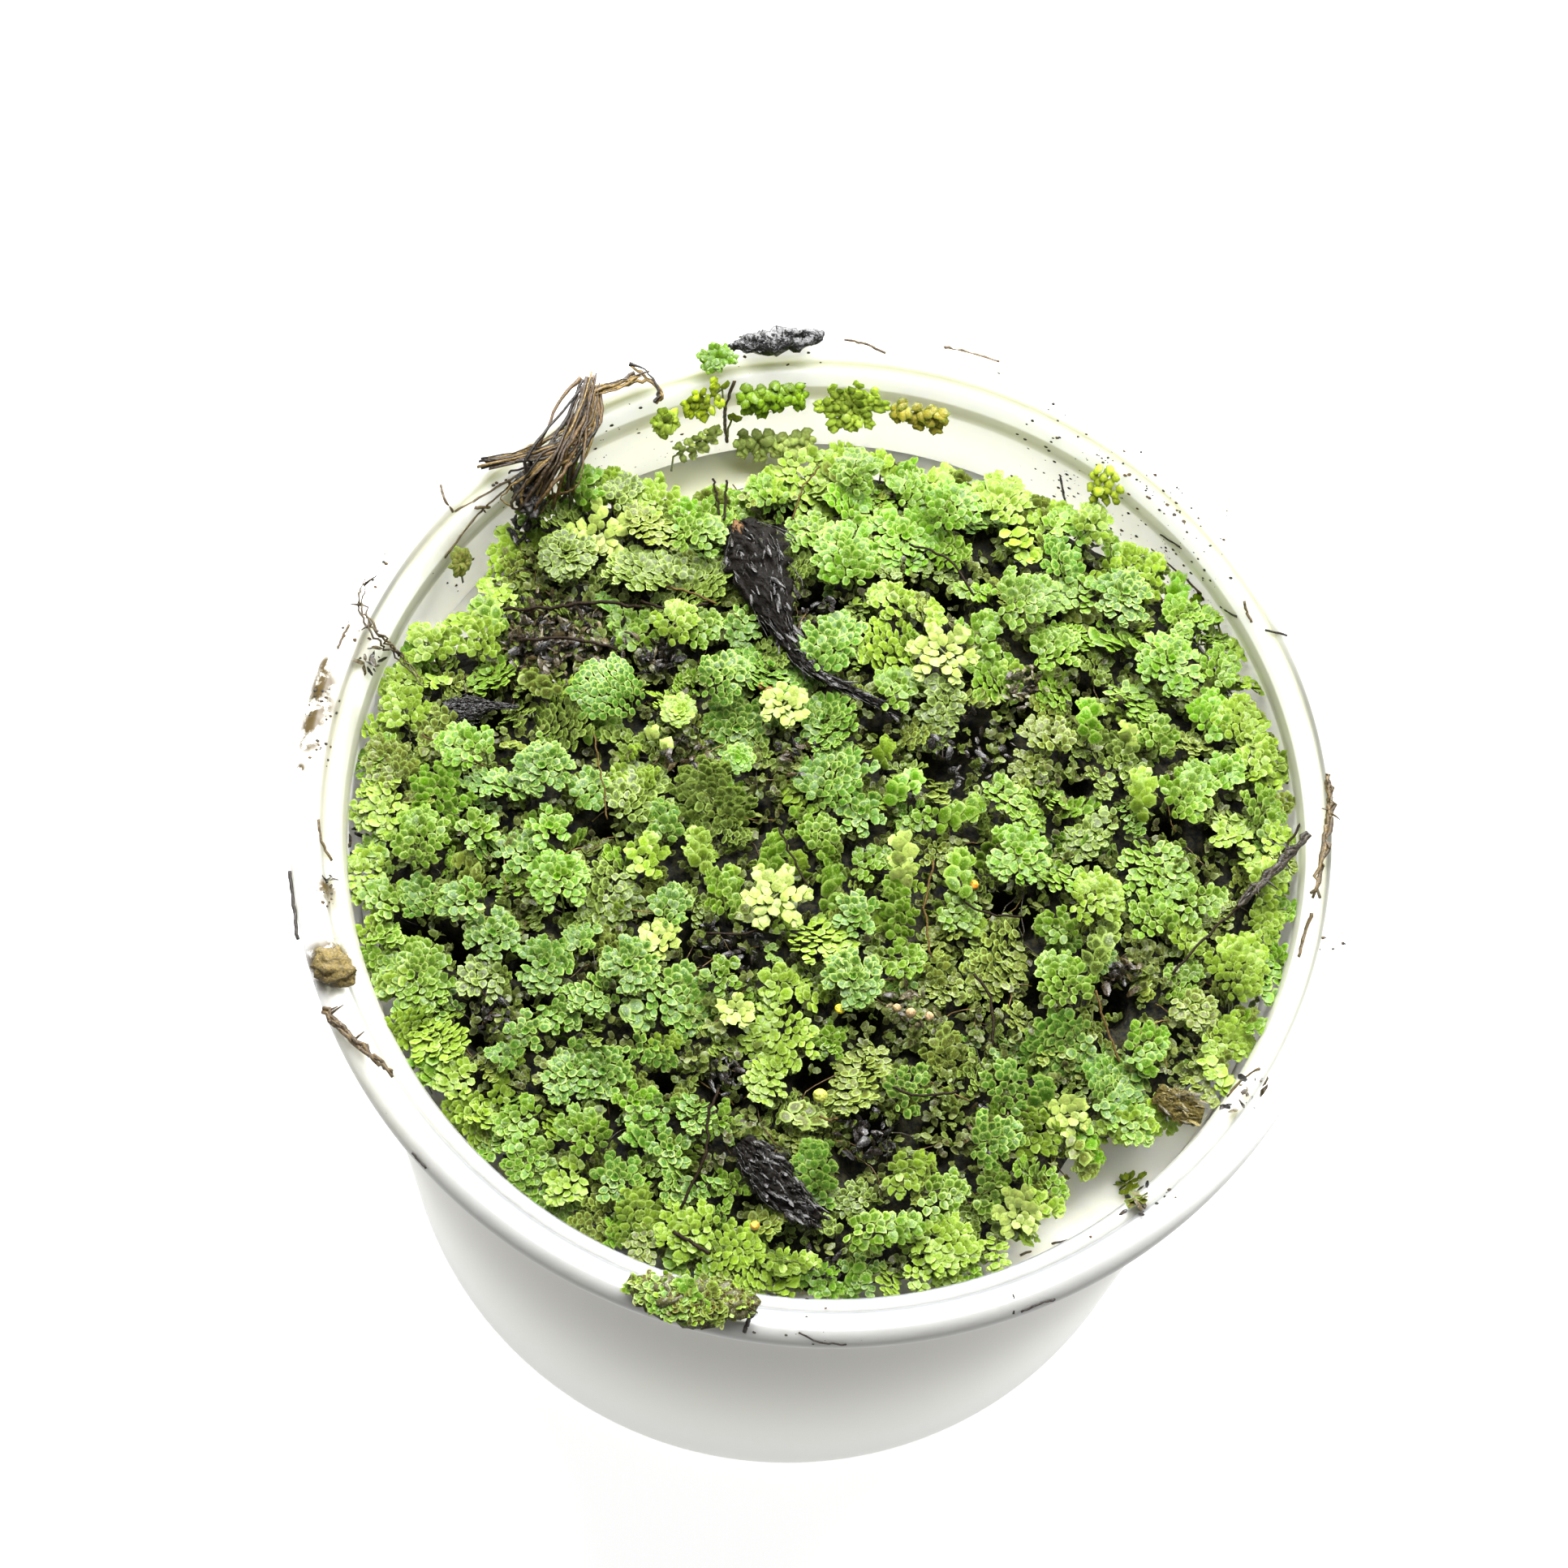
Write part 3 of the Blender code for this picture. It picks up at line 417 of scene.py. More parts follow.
# Crumpled dead leaves: x and y in pixels, spread in pixels, how many, shades
BLACK_BITS = ((0.006, 0.005, 0.004), (0.014, 0.010, 0.007))
BROWN_BITS = ((0.008, 0.006, 0.004), (0.030, 0.021, 0.009), (0.070, 0.055, 0.022))
BEIGE_BITS = ((0.050, 0.040, 0.020), (0.150, 0.130, 0.070), (0.100, 0.110, 0.045))
WET_BITS = [
    (675, 772, 46, 130, BROWN_BITS), (735, 790, 40, 90, BROWN_BITS), (655, 800, 34, 70, BROWN_BITS),
    (700, 800, 50, 90, BEIGE_BITS), (812, 812, 24, 46, BLACK_BITS), (800, 800, 20, 20, BEIGE_BITS),
    (645, 640, 30, 50, BLACK_BITS), (660, 590, 22, 30, BROWN_BITS), (850, 935, 34, 50, BROWN_BITS),
    (985, 930, 26, 40, BROWN_BITS), (1262, 846, 26, 50, BEIGE_BITS), (1130, 1243, 30, 40, BEIGE_BITS),
    (1005, 760, 30, 40, BLACK_BITS), (900, 1170, 46, 60, BLACK_BITS), (1070, 1400, 34, 50, BLACK_BITS),
    (900, 1325, 28, 36, BLACK_BITS), (610, 1255, 30, 36, BLACK_BITS), (1225, 1385, 36, 44, BROWN_BITS),
    (1010, 1560, 24, 30, BLACK_BITS), (1380, 1200, 30, 30, BROWN_BITS), (1200, 925, 50, 50, BLACK_BITS),
]
CRUMPLED_PLUMPNESS = 1.6

# Crumpled bits on the cup: x and y in pixels, spread in pixels, how many
CUP_BITS = [(456, 812, 13, 16), (437, 1024, 5, 4), (431, 1049, 4, 3), (405, 1085, 8, 8),
            (1545, 1340, 16, 10), (1400, 1476, 20, 16), (1530, 1355, 18, 10)]

# Strands of root over the rim: how many fibres; x and y in pixels, height of the middle, half width
ROOT_STRANDS = [
    (26, [(668, 604, 0.0779, 0.0011), (690, 564, 0.0807, 0.0010), (712, 516, 0.0812, 0.0008),
          (728, 468, 0.0811, 0.0003)]),
    (14, [(704, 536, 0.0811, 0.0005), (650, 560, 0.0809, 0.0004), (592, 572, 0.0807, 0.0003)]),
    (18, [(698, 550, 0.0808, 0.0006), (670, 577, 0.0803, 0.0008), (652, 602, 0.0787, 0.0010),
          (650, 626, 0.0778, 0.0006)]),
    (7, [(729, 482, 0.0811, 0.0004), (762, 473, 0.0809, 0.0003), (792, 462, 0.0808, 0.0002)]),
    (3, [(773, 451, 0.0807, 0.0002), (791, 463, 0.0808, 0.00028), (809, 486, 0.0806, 0.00025),
         (805, 498, 0.0803, 0.0002)]),
]
ROOT_FLOOR = 0.0772
ROOT_TONES = ((0.034, 0.020, 0.007), (0.080, 0.046, 0.011), (0.012, 0.008, 0.004), (0.150, 0.100, 0.026))

# Dark clump at the foot of the roots: x and y in pixels, radius
ROOT_CLUMP = [(652, 604, 0.0011), (664, 586, 0.0009), (656, 622, 0.0008), (690, 556, 0.0006)]
ROOT_CLUMP_HEIGHT = 0.0786
ROOT_CLUMP_TONE = (0.008, 0.006, 0.004)

# The least half width of any strand
THINNEST = 0.00003

# Twigs: slot, colour, how far apart the three strands run and how thick they are as shares of the
# half width; x and y in pixels, height of the middle, half width
TWIGS = {
    "left_twig": ("wet_twig", (0.045, 0.032, 0.010), 1.0, 0.32, [
        (449, 716, 0.0807, 0.0001), (444, 745, 0.0808, 0.00024), (464, 781, 0.0808, 0.00030),
        (490, 806, 0.0793, 0.00024), (524, 846, 0.0787, 0.0001)]),
    "right_twig": ("wet_twig", (0.018, 0.013, 0.006), 0.5, 0.6, [
        (1612, 1028, 0.0796, 0.0003), (1570, 1072, 0.0789, 0.0004), (1521, 1120, 0.0786, 0.0002)]),
    "near_twig": ("brown_straw", (0.060, 0.040, 0.015), 0.5, 0.6, [
        (399, 1245, 0.0806, 0.0003), (440, 1285, 0.0806, 0.0003), (486, 1324, 0.0805, 0.0002)]),
    "rim_straw": ("brown_straw", (0.075, 0.052, 0.018), 0.5, 0.6, [
        (1635, 956, 0.0805, 0.0002), (1639, 988, 0.0805, 0.0003), (1634, 1034, 0.0805, 0.0003),
        (1620, 1104, 0.0804, 0.0002)]),
}

# Lumps on the rim: slot, colour, material; x and y in pixels, half width
LUMPS = {
    "bark_chip": ("wet_bark", (0.005, 0.005, 0.005), "glossy", [
        (902, 427, 0.0004), (945, 422, 0.0010), (985, 416, 0.0009), (1012, 411, 0.0003)]),
    "soil_crumb": ("golden_soil", (0.13, 0.10, 0.03), "dry", [
        (399, 1174, 0.0006), (411, 1192, 0.0012), (426, 1207, 0.0006)]),
    "moss_clump": ("moss_and_soil", (0.045, 0.042, 0.014), "fern", [
        (786, 1584, 0.0008), (826, 1600, 0.0017), (876, 1606, 0.0016), (922, 1606, 0.0007)]),
}
LUMP_FLATNESS = 0.6
MOSS_PLANTS = 9
MOSS_LOBES = 420
MOSS_STICKS = 22
MOSS_STICK_TONE = (0.035, 0.018, 0.008)
STICK_TONES = {"dark": (0.014, 0.009, 0.005), "straw": (0.075, 0.050, 0.015)}

# Thin sticks and threads on the cup: pixels of their points, half width in metres, shade
STICKS = [
    ([(1040, 419), (1066, 424), (1091, 436)], 0.00012, "straw"),
    ([(1163, 429), (1196, 436), (1231, 447)], 0.00014, "straw"),
    ([(560, 631), (604, 606), (649, 579)], 0.00010, "straw"),
    ([(599, 624), (622, 604), (649, 582)], 0.00009, "straw"),
    ([(543, 598), (548, 616), (558, 631)], 0.00012, "straw"),
    ([(585, 626), (604, 626)], 0.00014, "straw"),
    ([(596, 626), (574, 652), (548, 688)], 0.00010, "straw"),
    ([(596, 629), (614, 652), (633, 671)], 0.00010, "straw"),
    ([(430, 770), (422, 786), (416, 800)], 0.00010, "straw"),
    ([(392, 1010), (396, 1036), (409, 1061)], 0.00011, "straw"),
    ([(357, 1074), (362, 1116), (367, 1158)], 0.00014, "dark"),
    ([(508, 1421), (516, 1430), (525, 1440)], 0.00010, "dark"),
    ([(811, 1621), (838, 1612), (866, 1617)], 0.00014, "dark"),
    ([(917, 1642), (922, 1628), (931, 1615)], 0.00016, "dark"),
    ([(984, 1642), (1010, 1654), (1043, 1657)], 0.00008, "dark"),
    ([(1258, 1617), (1280, 1607), (1300, 1601)], 0.00009, "dark"),
    ([(1248, 1595), (1249, 1619)], 0.00009, "dark"),
    ([(1257, 1547), (1300, 1532), (1344, 1524)], 0.00010, "straw"),
    ([(1600, 1180), (1608, 1150), (1616, 1126)], 0.00016, "straw"),
    ([(1419, 677), (1452, 706), (1481, 732)], 0.00012, "straw"),
    ([(1466, 787), (1482, 774), (1497, 764)], 0.00012, "dark"),
    ([(1504, 748), (1524, 761)], 0.00012, "dark"),
    ([(1533, 741), (1536, 754), (1542, 767)], 0.00012, "straw"),
    ([(1559, 777), (1586, 783)], 0.00010, "dark"),
    ([(1430, 659), (1455, 675)], 0.00012, "dark"),
    ([(1306, 585), (1310, 606), (1315, 629)], 0.00012, "dark"),
    ([(905, 470), (894, 500), (893, 522), (896, 545)], 0.00016, "straw"),
    ([(1452, 704), (1470, 722), (1484, 740)], 0.00012, "straw"),
    ([(1496, 760), (1508, 786), (1519, 806)], 0.00010, "straw"),
    ([(1512, 1352), (1530, 1332), (1551, 1317)], 0.00013, "straw"),
]

# Stems and threads that lie on the fern: pixels of their points, half width in metres, shade
MAT_THREADS = [
    ([(885, 1340), (872, 1380), (870, 1420), (838, 1490)], 0.00016, "dark"),
    ([(830, 1518), (850, 1530), (875, 1545)], 0.00020, "dark"),
    ([(1350, 1220), (1362, 1262), (1380, 1310)], 0.00013, "straw"),
    ([(878, 590), (884, 614), (886, 640)], 0.00013, "dark"),
    ([(895, 592), (894, 616), (892, 642)], 0.00013, "dark"),
    ([(1010, 575), (990, 600), (976, 640)], 0.00010, "straw"),
    ([(820, 722), (850, 730), (884, 744)], 0.00013, "straw"),
    ([(790, 740), (830, 752), (872, 744)], 0.00016, "dark"),
    ([(620, 752), (680, 748), (740, 742), (790, 748)], 0.00020, "dark"),
    ([(640, 790), (700, 786), (760, 800)], 0.00018, "dark"),
    ([(520, 905), (560, 925), (598, 945)], 0.00010, "straw"),
    ([(730, 900), (742, 960), (748, 1010)], 0.00010, "straw"),
    ([(960, 1020), (978, 1060), (1000, 1100)], 0.00012, "dark"),
    ([(1150, 1060), (1140, 1120), (1148, 1180)], 0.00012, "straw"),
    ([(1200, 1200), (1220, 1230), (1225, 1290)], 0.00016, "dark"),
    ([(1120, 670), (1170, 690), (1200, 735)], 0.00014, "dark"),
    ([(1010, 1375), (1020, 1380), (1032, 1378)], 0.00013, "straw"),
    ([(1100, 1340), (1130, 1350), (1180, 1345)], 0.00014, "dark"),
    ([(870, 1150), (920, 1150), (960, 1130)], 0.00014, "dark"),
    ([(1445, 1200), (1490, 1150), (1535, 1110)], 0.00014, "dark"),
    ([(1180, 1080), (1200, 1120), (1260, 1130)], 0.00013, "dark"),
    ([(1621, 981), (1600, 1020), (1580, 1050)], 0.00014, "dark"),
]

# Round beads on the fern: x and y in pixels, radius in metres, colour
BEADS = [
    (1200, 1090, 0.00036, (0.80, 0.32, 0.02)), (1035, 1243, 0.00040, (0.72, 0.62, 0.04)),
    (930, 1510, 0.00036, (0.55, 0.33, 0.04)), (855, 1630, 0.00040, (0.62, 0.40, 0.05)),
    (948, 852, 0.00042, (0.16, 0.07, 0.012)), (938, 846, 0.00030, (0.22, 0.11, 0.02)),
    (1010, 1350, 0.00055, (0.42, 0.48, 0.08)), (1122, 1248, 0.00040, (0.34, 0.24, 0.12)),
    (1145, 1252, 0.00036, (0.36, 0.26, 0.13)), (1105, 1242, 0.00034, (0.30, 0.22, 0.10)),
]

# Loose crumbs on the cup: x and y in pixels of the middle, spread in pixels, how many
CRUMBS = [
    (1380, 640, 90, 210), (1300, 560, 60, 50), (1470, 700, 50, 50), (1231, 463, 5, 3),
    (1300, 505, 12, 5), (1443, 613, 6, 3), (1481, 643, 7, 3), (1515, 633, 6, 3),
    (1508, 659, 6, 3), (396, 870, 24, 26), (392, 930, 18, 14), (398, 1108, 16, 12),
    (720, 540, 40, 24), (640, 600, 34, 20), (460, 700, 24, 10), (440, 780, 20, 10),
    (880, 1625, 60, 26), (1000, 1640, 50, 12), (1440, 1480, 16, 8), (1640, 1160, 20, 10),
    (820, 530, 60, 20), (560, 700, 30, 10), (1150, 560, 60, 14), (960, 450, 60, 16),
]
CRUMB_TONES = ((0.03, 0.02, 0.01), (0.07, 0.045, 0.015), (0.02, 0.02, 0.01))

SEED = 5
rng = random.Random(SEED)
jitter = np.random.default_rng(SEED)
ABOVE = Vector((0, 0, 1))
NEARLY_ABOVE = Vector((0.05, 0.02, 1.0))


# Places in the photograph

def view_axes():
    back = Vector((0, -math.cos(VIEW_ELEVATION), math.sin(VIEW_ELEVATION)))
    level = Vector((1, 0, 0))
    up = back.cross(level)
    right = math.cos(VIEW_ROLL) * level + math.sin(VIEW_ROLL) * up
    upward = -math.sin(VIEW_ROLL) * level + math.cos(VIEW_ROLL) * up
    return back, right, upward


BACK, RIGHT, UPWARD = view_axes()


def view_eye():
    scale = VIEW_DISTANCE / VIEW_FOCAL
    eye = Vector((0, 0, VIEW_TARGET_HEIGHT)) + BACK * VIEW_DISTANCE
    return eye + UPWARD * VIEW_OFFSET[1] * scale - RIGHT * VIEW_OFFSET[0] * scale


EYE = view_eye()


def place(px, py, height):
    """The point at a height that is seen at a pixel of the photograph."""
    middle = VIEW_FRAME / 2
    ray = (RIGHT * (px - middle) - UPWARD * (py - middle)) / VIEW_FOCAL - BACK
    return EYE + ray * ((height - EYE.z) / ray.z)


def inner_radius(height):
    """Radius of the cup's inner wall, up to the foot of the lid seat."""
    low = BASE_RADIUS - WALL
    share = (height - HEEL_RADIUS) / (SEAT_FOOT[1] - HEEL_RADIUS)
    return low + (SEAT_FOOT[0] - low) * share


def rim_height(radius, bead):
    """Height of the rim's top at a distance from the axis: the bead, or the seat inside it."""
    across = radius - bead[0]
    if abs(across) < BEAD_RADIUS:
        return bead[1] + math.sqrt(BEAD_RADIUS ** 2 - across ** 2)
    if radius > SEAT_TOP[0]:
        return SEAT_TOP[1]
    share = (radius - SEAT_FOOT[0]) / (SEAT_TOP[0] - SEAT_FOOT[0])
    return SEAT_FOOT[1] + (SEAT_TOP[1] - SEAT_FOOT[1]) * share


def is_in_cup(point, bead):
    radius = math.hypot(point.x, point.y)
    if radius >= SEAT_FOOT[0]:
        return point.z <= rim_height(radius, bead)
    return radius >= inner_radius(point.z)


def place_on_cup(px, py, bead):
    """The point of the cup's rim, ledge or inner wall that is seen at a pixel."""
    height = bead[1] + BEAD_RADIUS
    while height > MEDIUM_TOP and not is_in_cup(place(px, py, height), bead):
        height -= SEARCH_STEP
    return place(px, py, height)


def mound_height(x, y):
    """Smooth height of the fern's top, before any leaf."""
    away = math.hypot(x - MOUND_CENTRE[0], y - MOUND_CENTRE[1]) / MOUND_REACH
    return MOUND_TOP - MOUND_DROP * away ** 3


def mound_normal(x, y):
    step = NORMAL_STEP
    slope_x = (mound_height(x + step, y) - mound_height(x - step, y)) / (2 * step)
    slope_y = (mound_height(x, y + step) - mound_height(x, y - step)) / (2 * step)
    return Vector((-slope_x, -slope_y, 1)).normalized()


def place_on_mound(px, py, lift=0.0):
    spot = place(px, py, MOUND_TOP)
    for _ in range(3):
        spot = place(px, py, mound_height(spot.x, spot.y) + lift)
    return spot


def edge_radius_function():
    """Distance of the mat's edge from the axis for any direction, from the listed pixels."""
    samples = []
    for px, py in MAT_EDGE_PIXELS:
        point = place(px, py, MAT_EDGE_HEIGHT)
        radius = min(math.hypot(point.x, point.y), MAT_MAX_RADIUS)
        samples.append((math.atan2(point.y, point.x) % math.tau, radius))
    samples.sort()
    angles = [angle for angle, _ in samples]
    radii = [radius for _, radius in samples]
    return lambda angle: float(np.interp(angle % math.tau, angles, radii, period=math.tau))


# Random places and directions

def scattered(x, y, spread):
    """A random place in a disc around a point or a pixel."""
    turn, away = rng.uniform(0, math.tau), spread * math.sqrt(rng.random())
    return x + away * math.cos(turn), y + away * math.sin(turn)


def way_of(degrees):
    return Vector((math.cos(math.radians(degrees)), math.sin(math.radians(degrees)), 0.0))


def tilted(normal, amount):
    """A facing direction tilted at random by up to an amount in degrees."""
    away = math.radians(amount) * math.sqrt(rng.random())
    turn = rng.uniform(0, math.tau)
    lean = Vector((math.cos(turn), math.sin(turn), 0.0)) * math.tan(away)
    return (normal + lean).normalized()


def loose_axes(amount, heading=None):
    """The way that a loose lobe points and faces, at random where no heading is given."""
    normal = tilted(ABOVE, amount)
    if heading is None:
        heading = rng.uniform(0, 360)
    return normal.cross(way_of(heading)).normalized(), normal


# Meshes

def smooth_route(points, per_span):
    """Points of a smooth curve through a few points given as sequences of numbers."""
    rows = [np.array(point, dtype=float) for point in points]
    rows = [2 * rows[0] - rows[1]] + rows + [2 * rows[-1] - rows[-2]]
    route = []
    for a, b, c, d in zip(rows, rows[1:], rows[2:], rows[3:]):
        for step in range(per_span):
            t = step / per_span
            route.append(0.5 * (2 * b + (c - a) * t + (2 * a - 5 * b + 4 * c - d) * t ** 2
                                + (3 * b - a - 3 * c + d) * t ** 3))
    route.append(rows[-2])
    return route


def tube(points, radii, sides):
    """A closed tube through points."""
    vertices, triangles = [], []
    count = len(points)
    points = [Vector(point) for point in points]
    for i, (point, radius) in enumerate(zip(points, radii)):
        along = points[min(i + 1, count - 1)] - points[max(i - 1, 0)]
        side = along.cross(NEARLY_ABOVE).normalized()
        lift = side.cross(along).normalized()
        for j in range(sides):
            angle = math.tau * j / sides
            vertices.append(point + side * (math.cos(angle) * radius) + lift * (math.sin(angle) * radius))
    for i in range(count - 1):
        for j in range(sides):
            a, b = i * sides + j, i * sides + (j + 1) % sides
            triangles += [(a, b, a + sides), (b, b + sides, a + sides)]
    for ring, is_end in ((0, False), (count - 1, True)):
        hub = len(vertices)
        vertices.append(points[ring])
        for j in range(sides):
            a, b = ring * sides + j, ring * sides + (j + 1) % sides
            triangles.append((a, b, hub) if is_end else (b, a, hub))
    return vertices, triangles


def ball(centre, radii, rings, segments, roughness, grain):
    """A closed, lumpy ball; roughness is its relief in metres and grain the size of its lumps."""
    vertices, triangles = [], []
    for i in range(rings + 1):
        polar = math.pi * i / rings
        for j in range(segments if 0 < i < rings else 1):
            angle = math.tau * j / segments
            way = Vector((math.sin(polar) * math.cos(angle), math.sin(polar) * math.sin(angle),
                          math.cos(polar)))
            point = Vector((way.x * radii[0], way.y * radii[1], way.z * radii[2]))
            relief = roughness * noise.fractal((centre + point) / grain, 1.0, 2.0, 3)
            vertices.append(centre + point + way * relief)
    first = [0] + [1 + (i - 1) * segments for i in range(1, rings)] + [1 + (rings - 1) * segments]
    for j in range(segments):
        k = (j + 1) % segments
        triangles.append((first[0], first[1] + j, first[1] + k))
        for i in range(1, rings - 1):
            a, b = first[i] + j, first[i] + k
            c, d = first[i + 1] + j, first[i + 1] + k
            triangles += [(a, c, b), (b, c, d)]
        triangles.append((first[rings - 1] + j, first[rings], first[rings - 1] + k))
    return vertices, triangles


def strand(rows, per_span, sides, wobble, seed):
    """A tapering, slightly crooked strand through rows of x, y, z and half width."""
    points, radii = [], []
    for i, row in enumerate(smooth_route(rows, per_span)):
        stray = [noise.noise(Vector((i * 0.6, seed, layer))) for layer in (0.0, 5.0, 9.0)]
        points.append(Vector(row[:3]) + Vector(stray) * wobble)
        swelling = 1 + 0.25 * noise.noise(Vector((i * 0.9, seed, 2.0)))
        radii.append(max(row[3] * swelling, THINNEST))
    return tube(points, radii, sides)


def lobe_template():
    """A closed, low leaf lobe of length 1 and width 1: vertices, triangles, share of margin."""
    vertices, margin = [], []
    for i in range(LOBE_SIDES):
        angle = math.tau * i / LOBE_SIDES
        across = math.sin(angle) * (0.47 - 0.035 * math.cos(angle))
        vertices.append((0.5 + 0.5 * math.cos(angle), across, 0.0))
        margin.append(1.0)
    vertices += [(0.50, 0.0, 1.0), (0.45, 0.0, -0.5)]
    margin += [0.0, 0.3]
    triangles = []
    for i in range(LOBE_SIDES):
        j = (i + 1) % LOBE_SIDES
        triangles += [(i, j, LOBE_SIDES), (j, i, LOBE_SIDES + 1)]
    return np.array(vertices), np.array(triangles), np.array(margin)


class Batch:
    """Many small closed shapes that make one piece, with the colour and margin of each vertex."""

    def __init__(self, plumpness=1.0):
        self.lobes = []
        self.shapes = []
        self.plumpness = plumpness

    def add_lobe(self, base, along, normal, length, width, curl, tone):
        self.lobes.append((*base, *along, *normal, length, width, curl, *tone))

    def add_shape(self, shape, tone):
        vertices, triangles = shape
        self.shapes.append((np.array([tuple(v) for v in vertices]), np.array(triangles), tone))

    def lobe_arrays(self):
        template, faces, margin = lobe_template()
        rows = np.array(self.lobes)
        base, along, normal = rows[:, 0:3], rows[:, 3:6], rows[:, 6:9]
        length, width, curl = rows[:, 9:10], rows[:, 10:11], rows[:, 11:12]
        side = np.cross(normal, along)
        shape = (len(rows), len(template))
        x = template[:, 0] * length * (1 + jitter.uniform(-UNEVEN_LENGTH, UNEVEN_LENGTH, shape))
        y = template[:, 1] * width * (1 + jitter.uniform(-UNEVEN_WIDTH, UNEVEN_WIDTH, shape))
        z = template[:, 2] * LOBE_THICKNESS * self.plumpness * length / LOBE_LENGTH
        waves = margin * length * jitter.uniform(-UNEVEN_MARGIN, UNEVEN_MARGIN, shape)
        z = z + curl * template[:, 0] ** 2 * length + waves
        points = base[:, None] + along[:, None] * x[..., None] + side[:, None] * y[..., None]
        points = points + normal[:, None] * z[..., None]
        starts = np.arange(len(rows)) * len(template)
        triangles = faces[None] + starts[:, None, None]
        tones = np.repeat(rows[:, 12:15], len(template), axis=0)
        return points.reshape(-1, 3), triangles.reshape(-1, 3), tones, np.tile(margin, len(rows))

    def arrays(self):
        groups = [self.lobe_arrays()] if self.lobes else []
        for vertices, triangles, tone in self.shapes:
            tones = np.tile(np.array(tone, dtype=float), (len(vertices), 1))
            groups.append((vertices, triangles, tones, np.zeros(len(vertices))))
        vertices, triangles, tones, margins = zip(*groups)
        starts = np.cumsum([0] + [len(rows) for rows in vertices[:-1]])
        triangles = [rows + start for rows, start in zip(triangles, starts)]
        return np.vstack(vertices), np.vstack(triangles), np.vstack(tones), np.concatenate(margins)


def mesh_object(name, vertices, triangles, material):
    mesh = bpy.data.meshes.new(name)
    mesh.vertices.add(len(vertices))
    mesh.vertices.foreach_set("co", np.asarray(vertices, dtype=np.float32).ravel())
    mesh.loops.add(len(triangles) * 3)
    mesh.loops.foreach_set("vertex_index", np.asarray(triangles, dtype=np.int32).ravel())
    mesh.polygons.add(len(triangles))
    mesh.polygons.foreach_set("loop_start", np.arange(0, len(triangles) * 3, 3, dtype=np.int32))
    mesh.polygons.foreach_set("use_smooth", np.ones(len(triangles), dtype=bool))
    mesh.update(calc_edges=True)
    mesh.materials.append(material)
    obj = bpy.data.objects.new(name, mesh)
    bpy.context.scene.collection.objects.link(obj)
    return obj


def finish_piece(obj, replaced):
    """Lets a piece ride on the cup and stand for its solids."""
    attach(obj, "root")
    if replaced:
        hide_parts(*replaced)


def batch_piece(name, batch, material, replaced):
    """One piece from a batch."""
    vertices, triangles, tones, margins = batch.arrays()
    obj = mesh_object(name, vertices, triangles, material)
    tone = obj.data.attributes.new("tone", "FLOAT_COLOR", "POINT")
    tone.data.foreach_set("color", np.hstack([tones, np.ones((len(tones), 1))]).ravel())
    margin = obj.data.attributes.new("margin", "FLOAT", "POINT")
    margin.data.foreach_set("value", margins.astype(np.float32))
    sharpen_lobe_edges(obj.data, margins)
    finish_piece(obj, replaced)


def sharpen_lobe_edges(mesh, margins):
    """Keeps the shading of a lobe's face apart from that of its underside."""
    ends = np.empty(len(mesh.edges) * 2, dtype=np.int32)
    mesh.edges.foreach_get("vertices", ends)
    on_margin = margins[ends] > 0.99
    sharp = mesh.attributes.new("sharp_edge", "BOOLEAN", "EDGE")
    sharp.data.foreach_set("value", on_margin[0::2] & on_margin[1::2])


def shaded(tone, amount):
    return tuple(part * amount for part in tone)


def blended(first, second, share):
    return tuple(a + (b - a) * share for a, b in zip(first, second))


# Materials

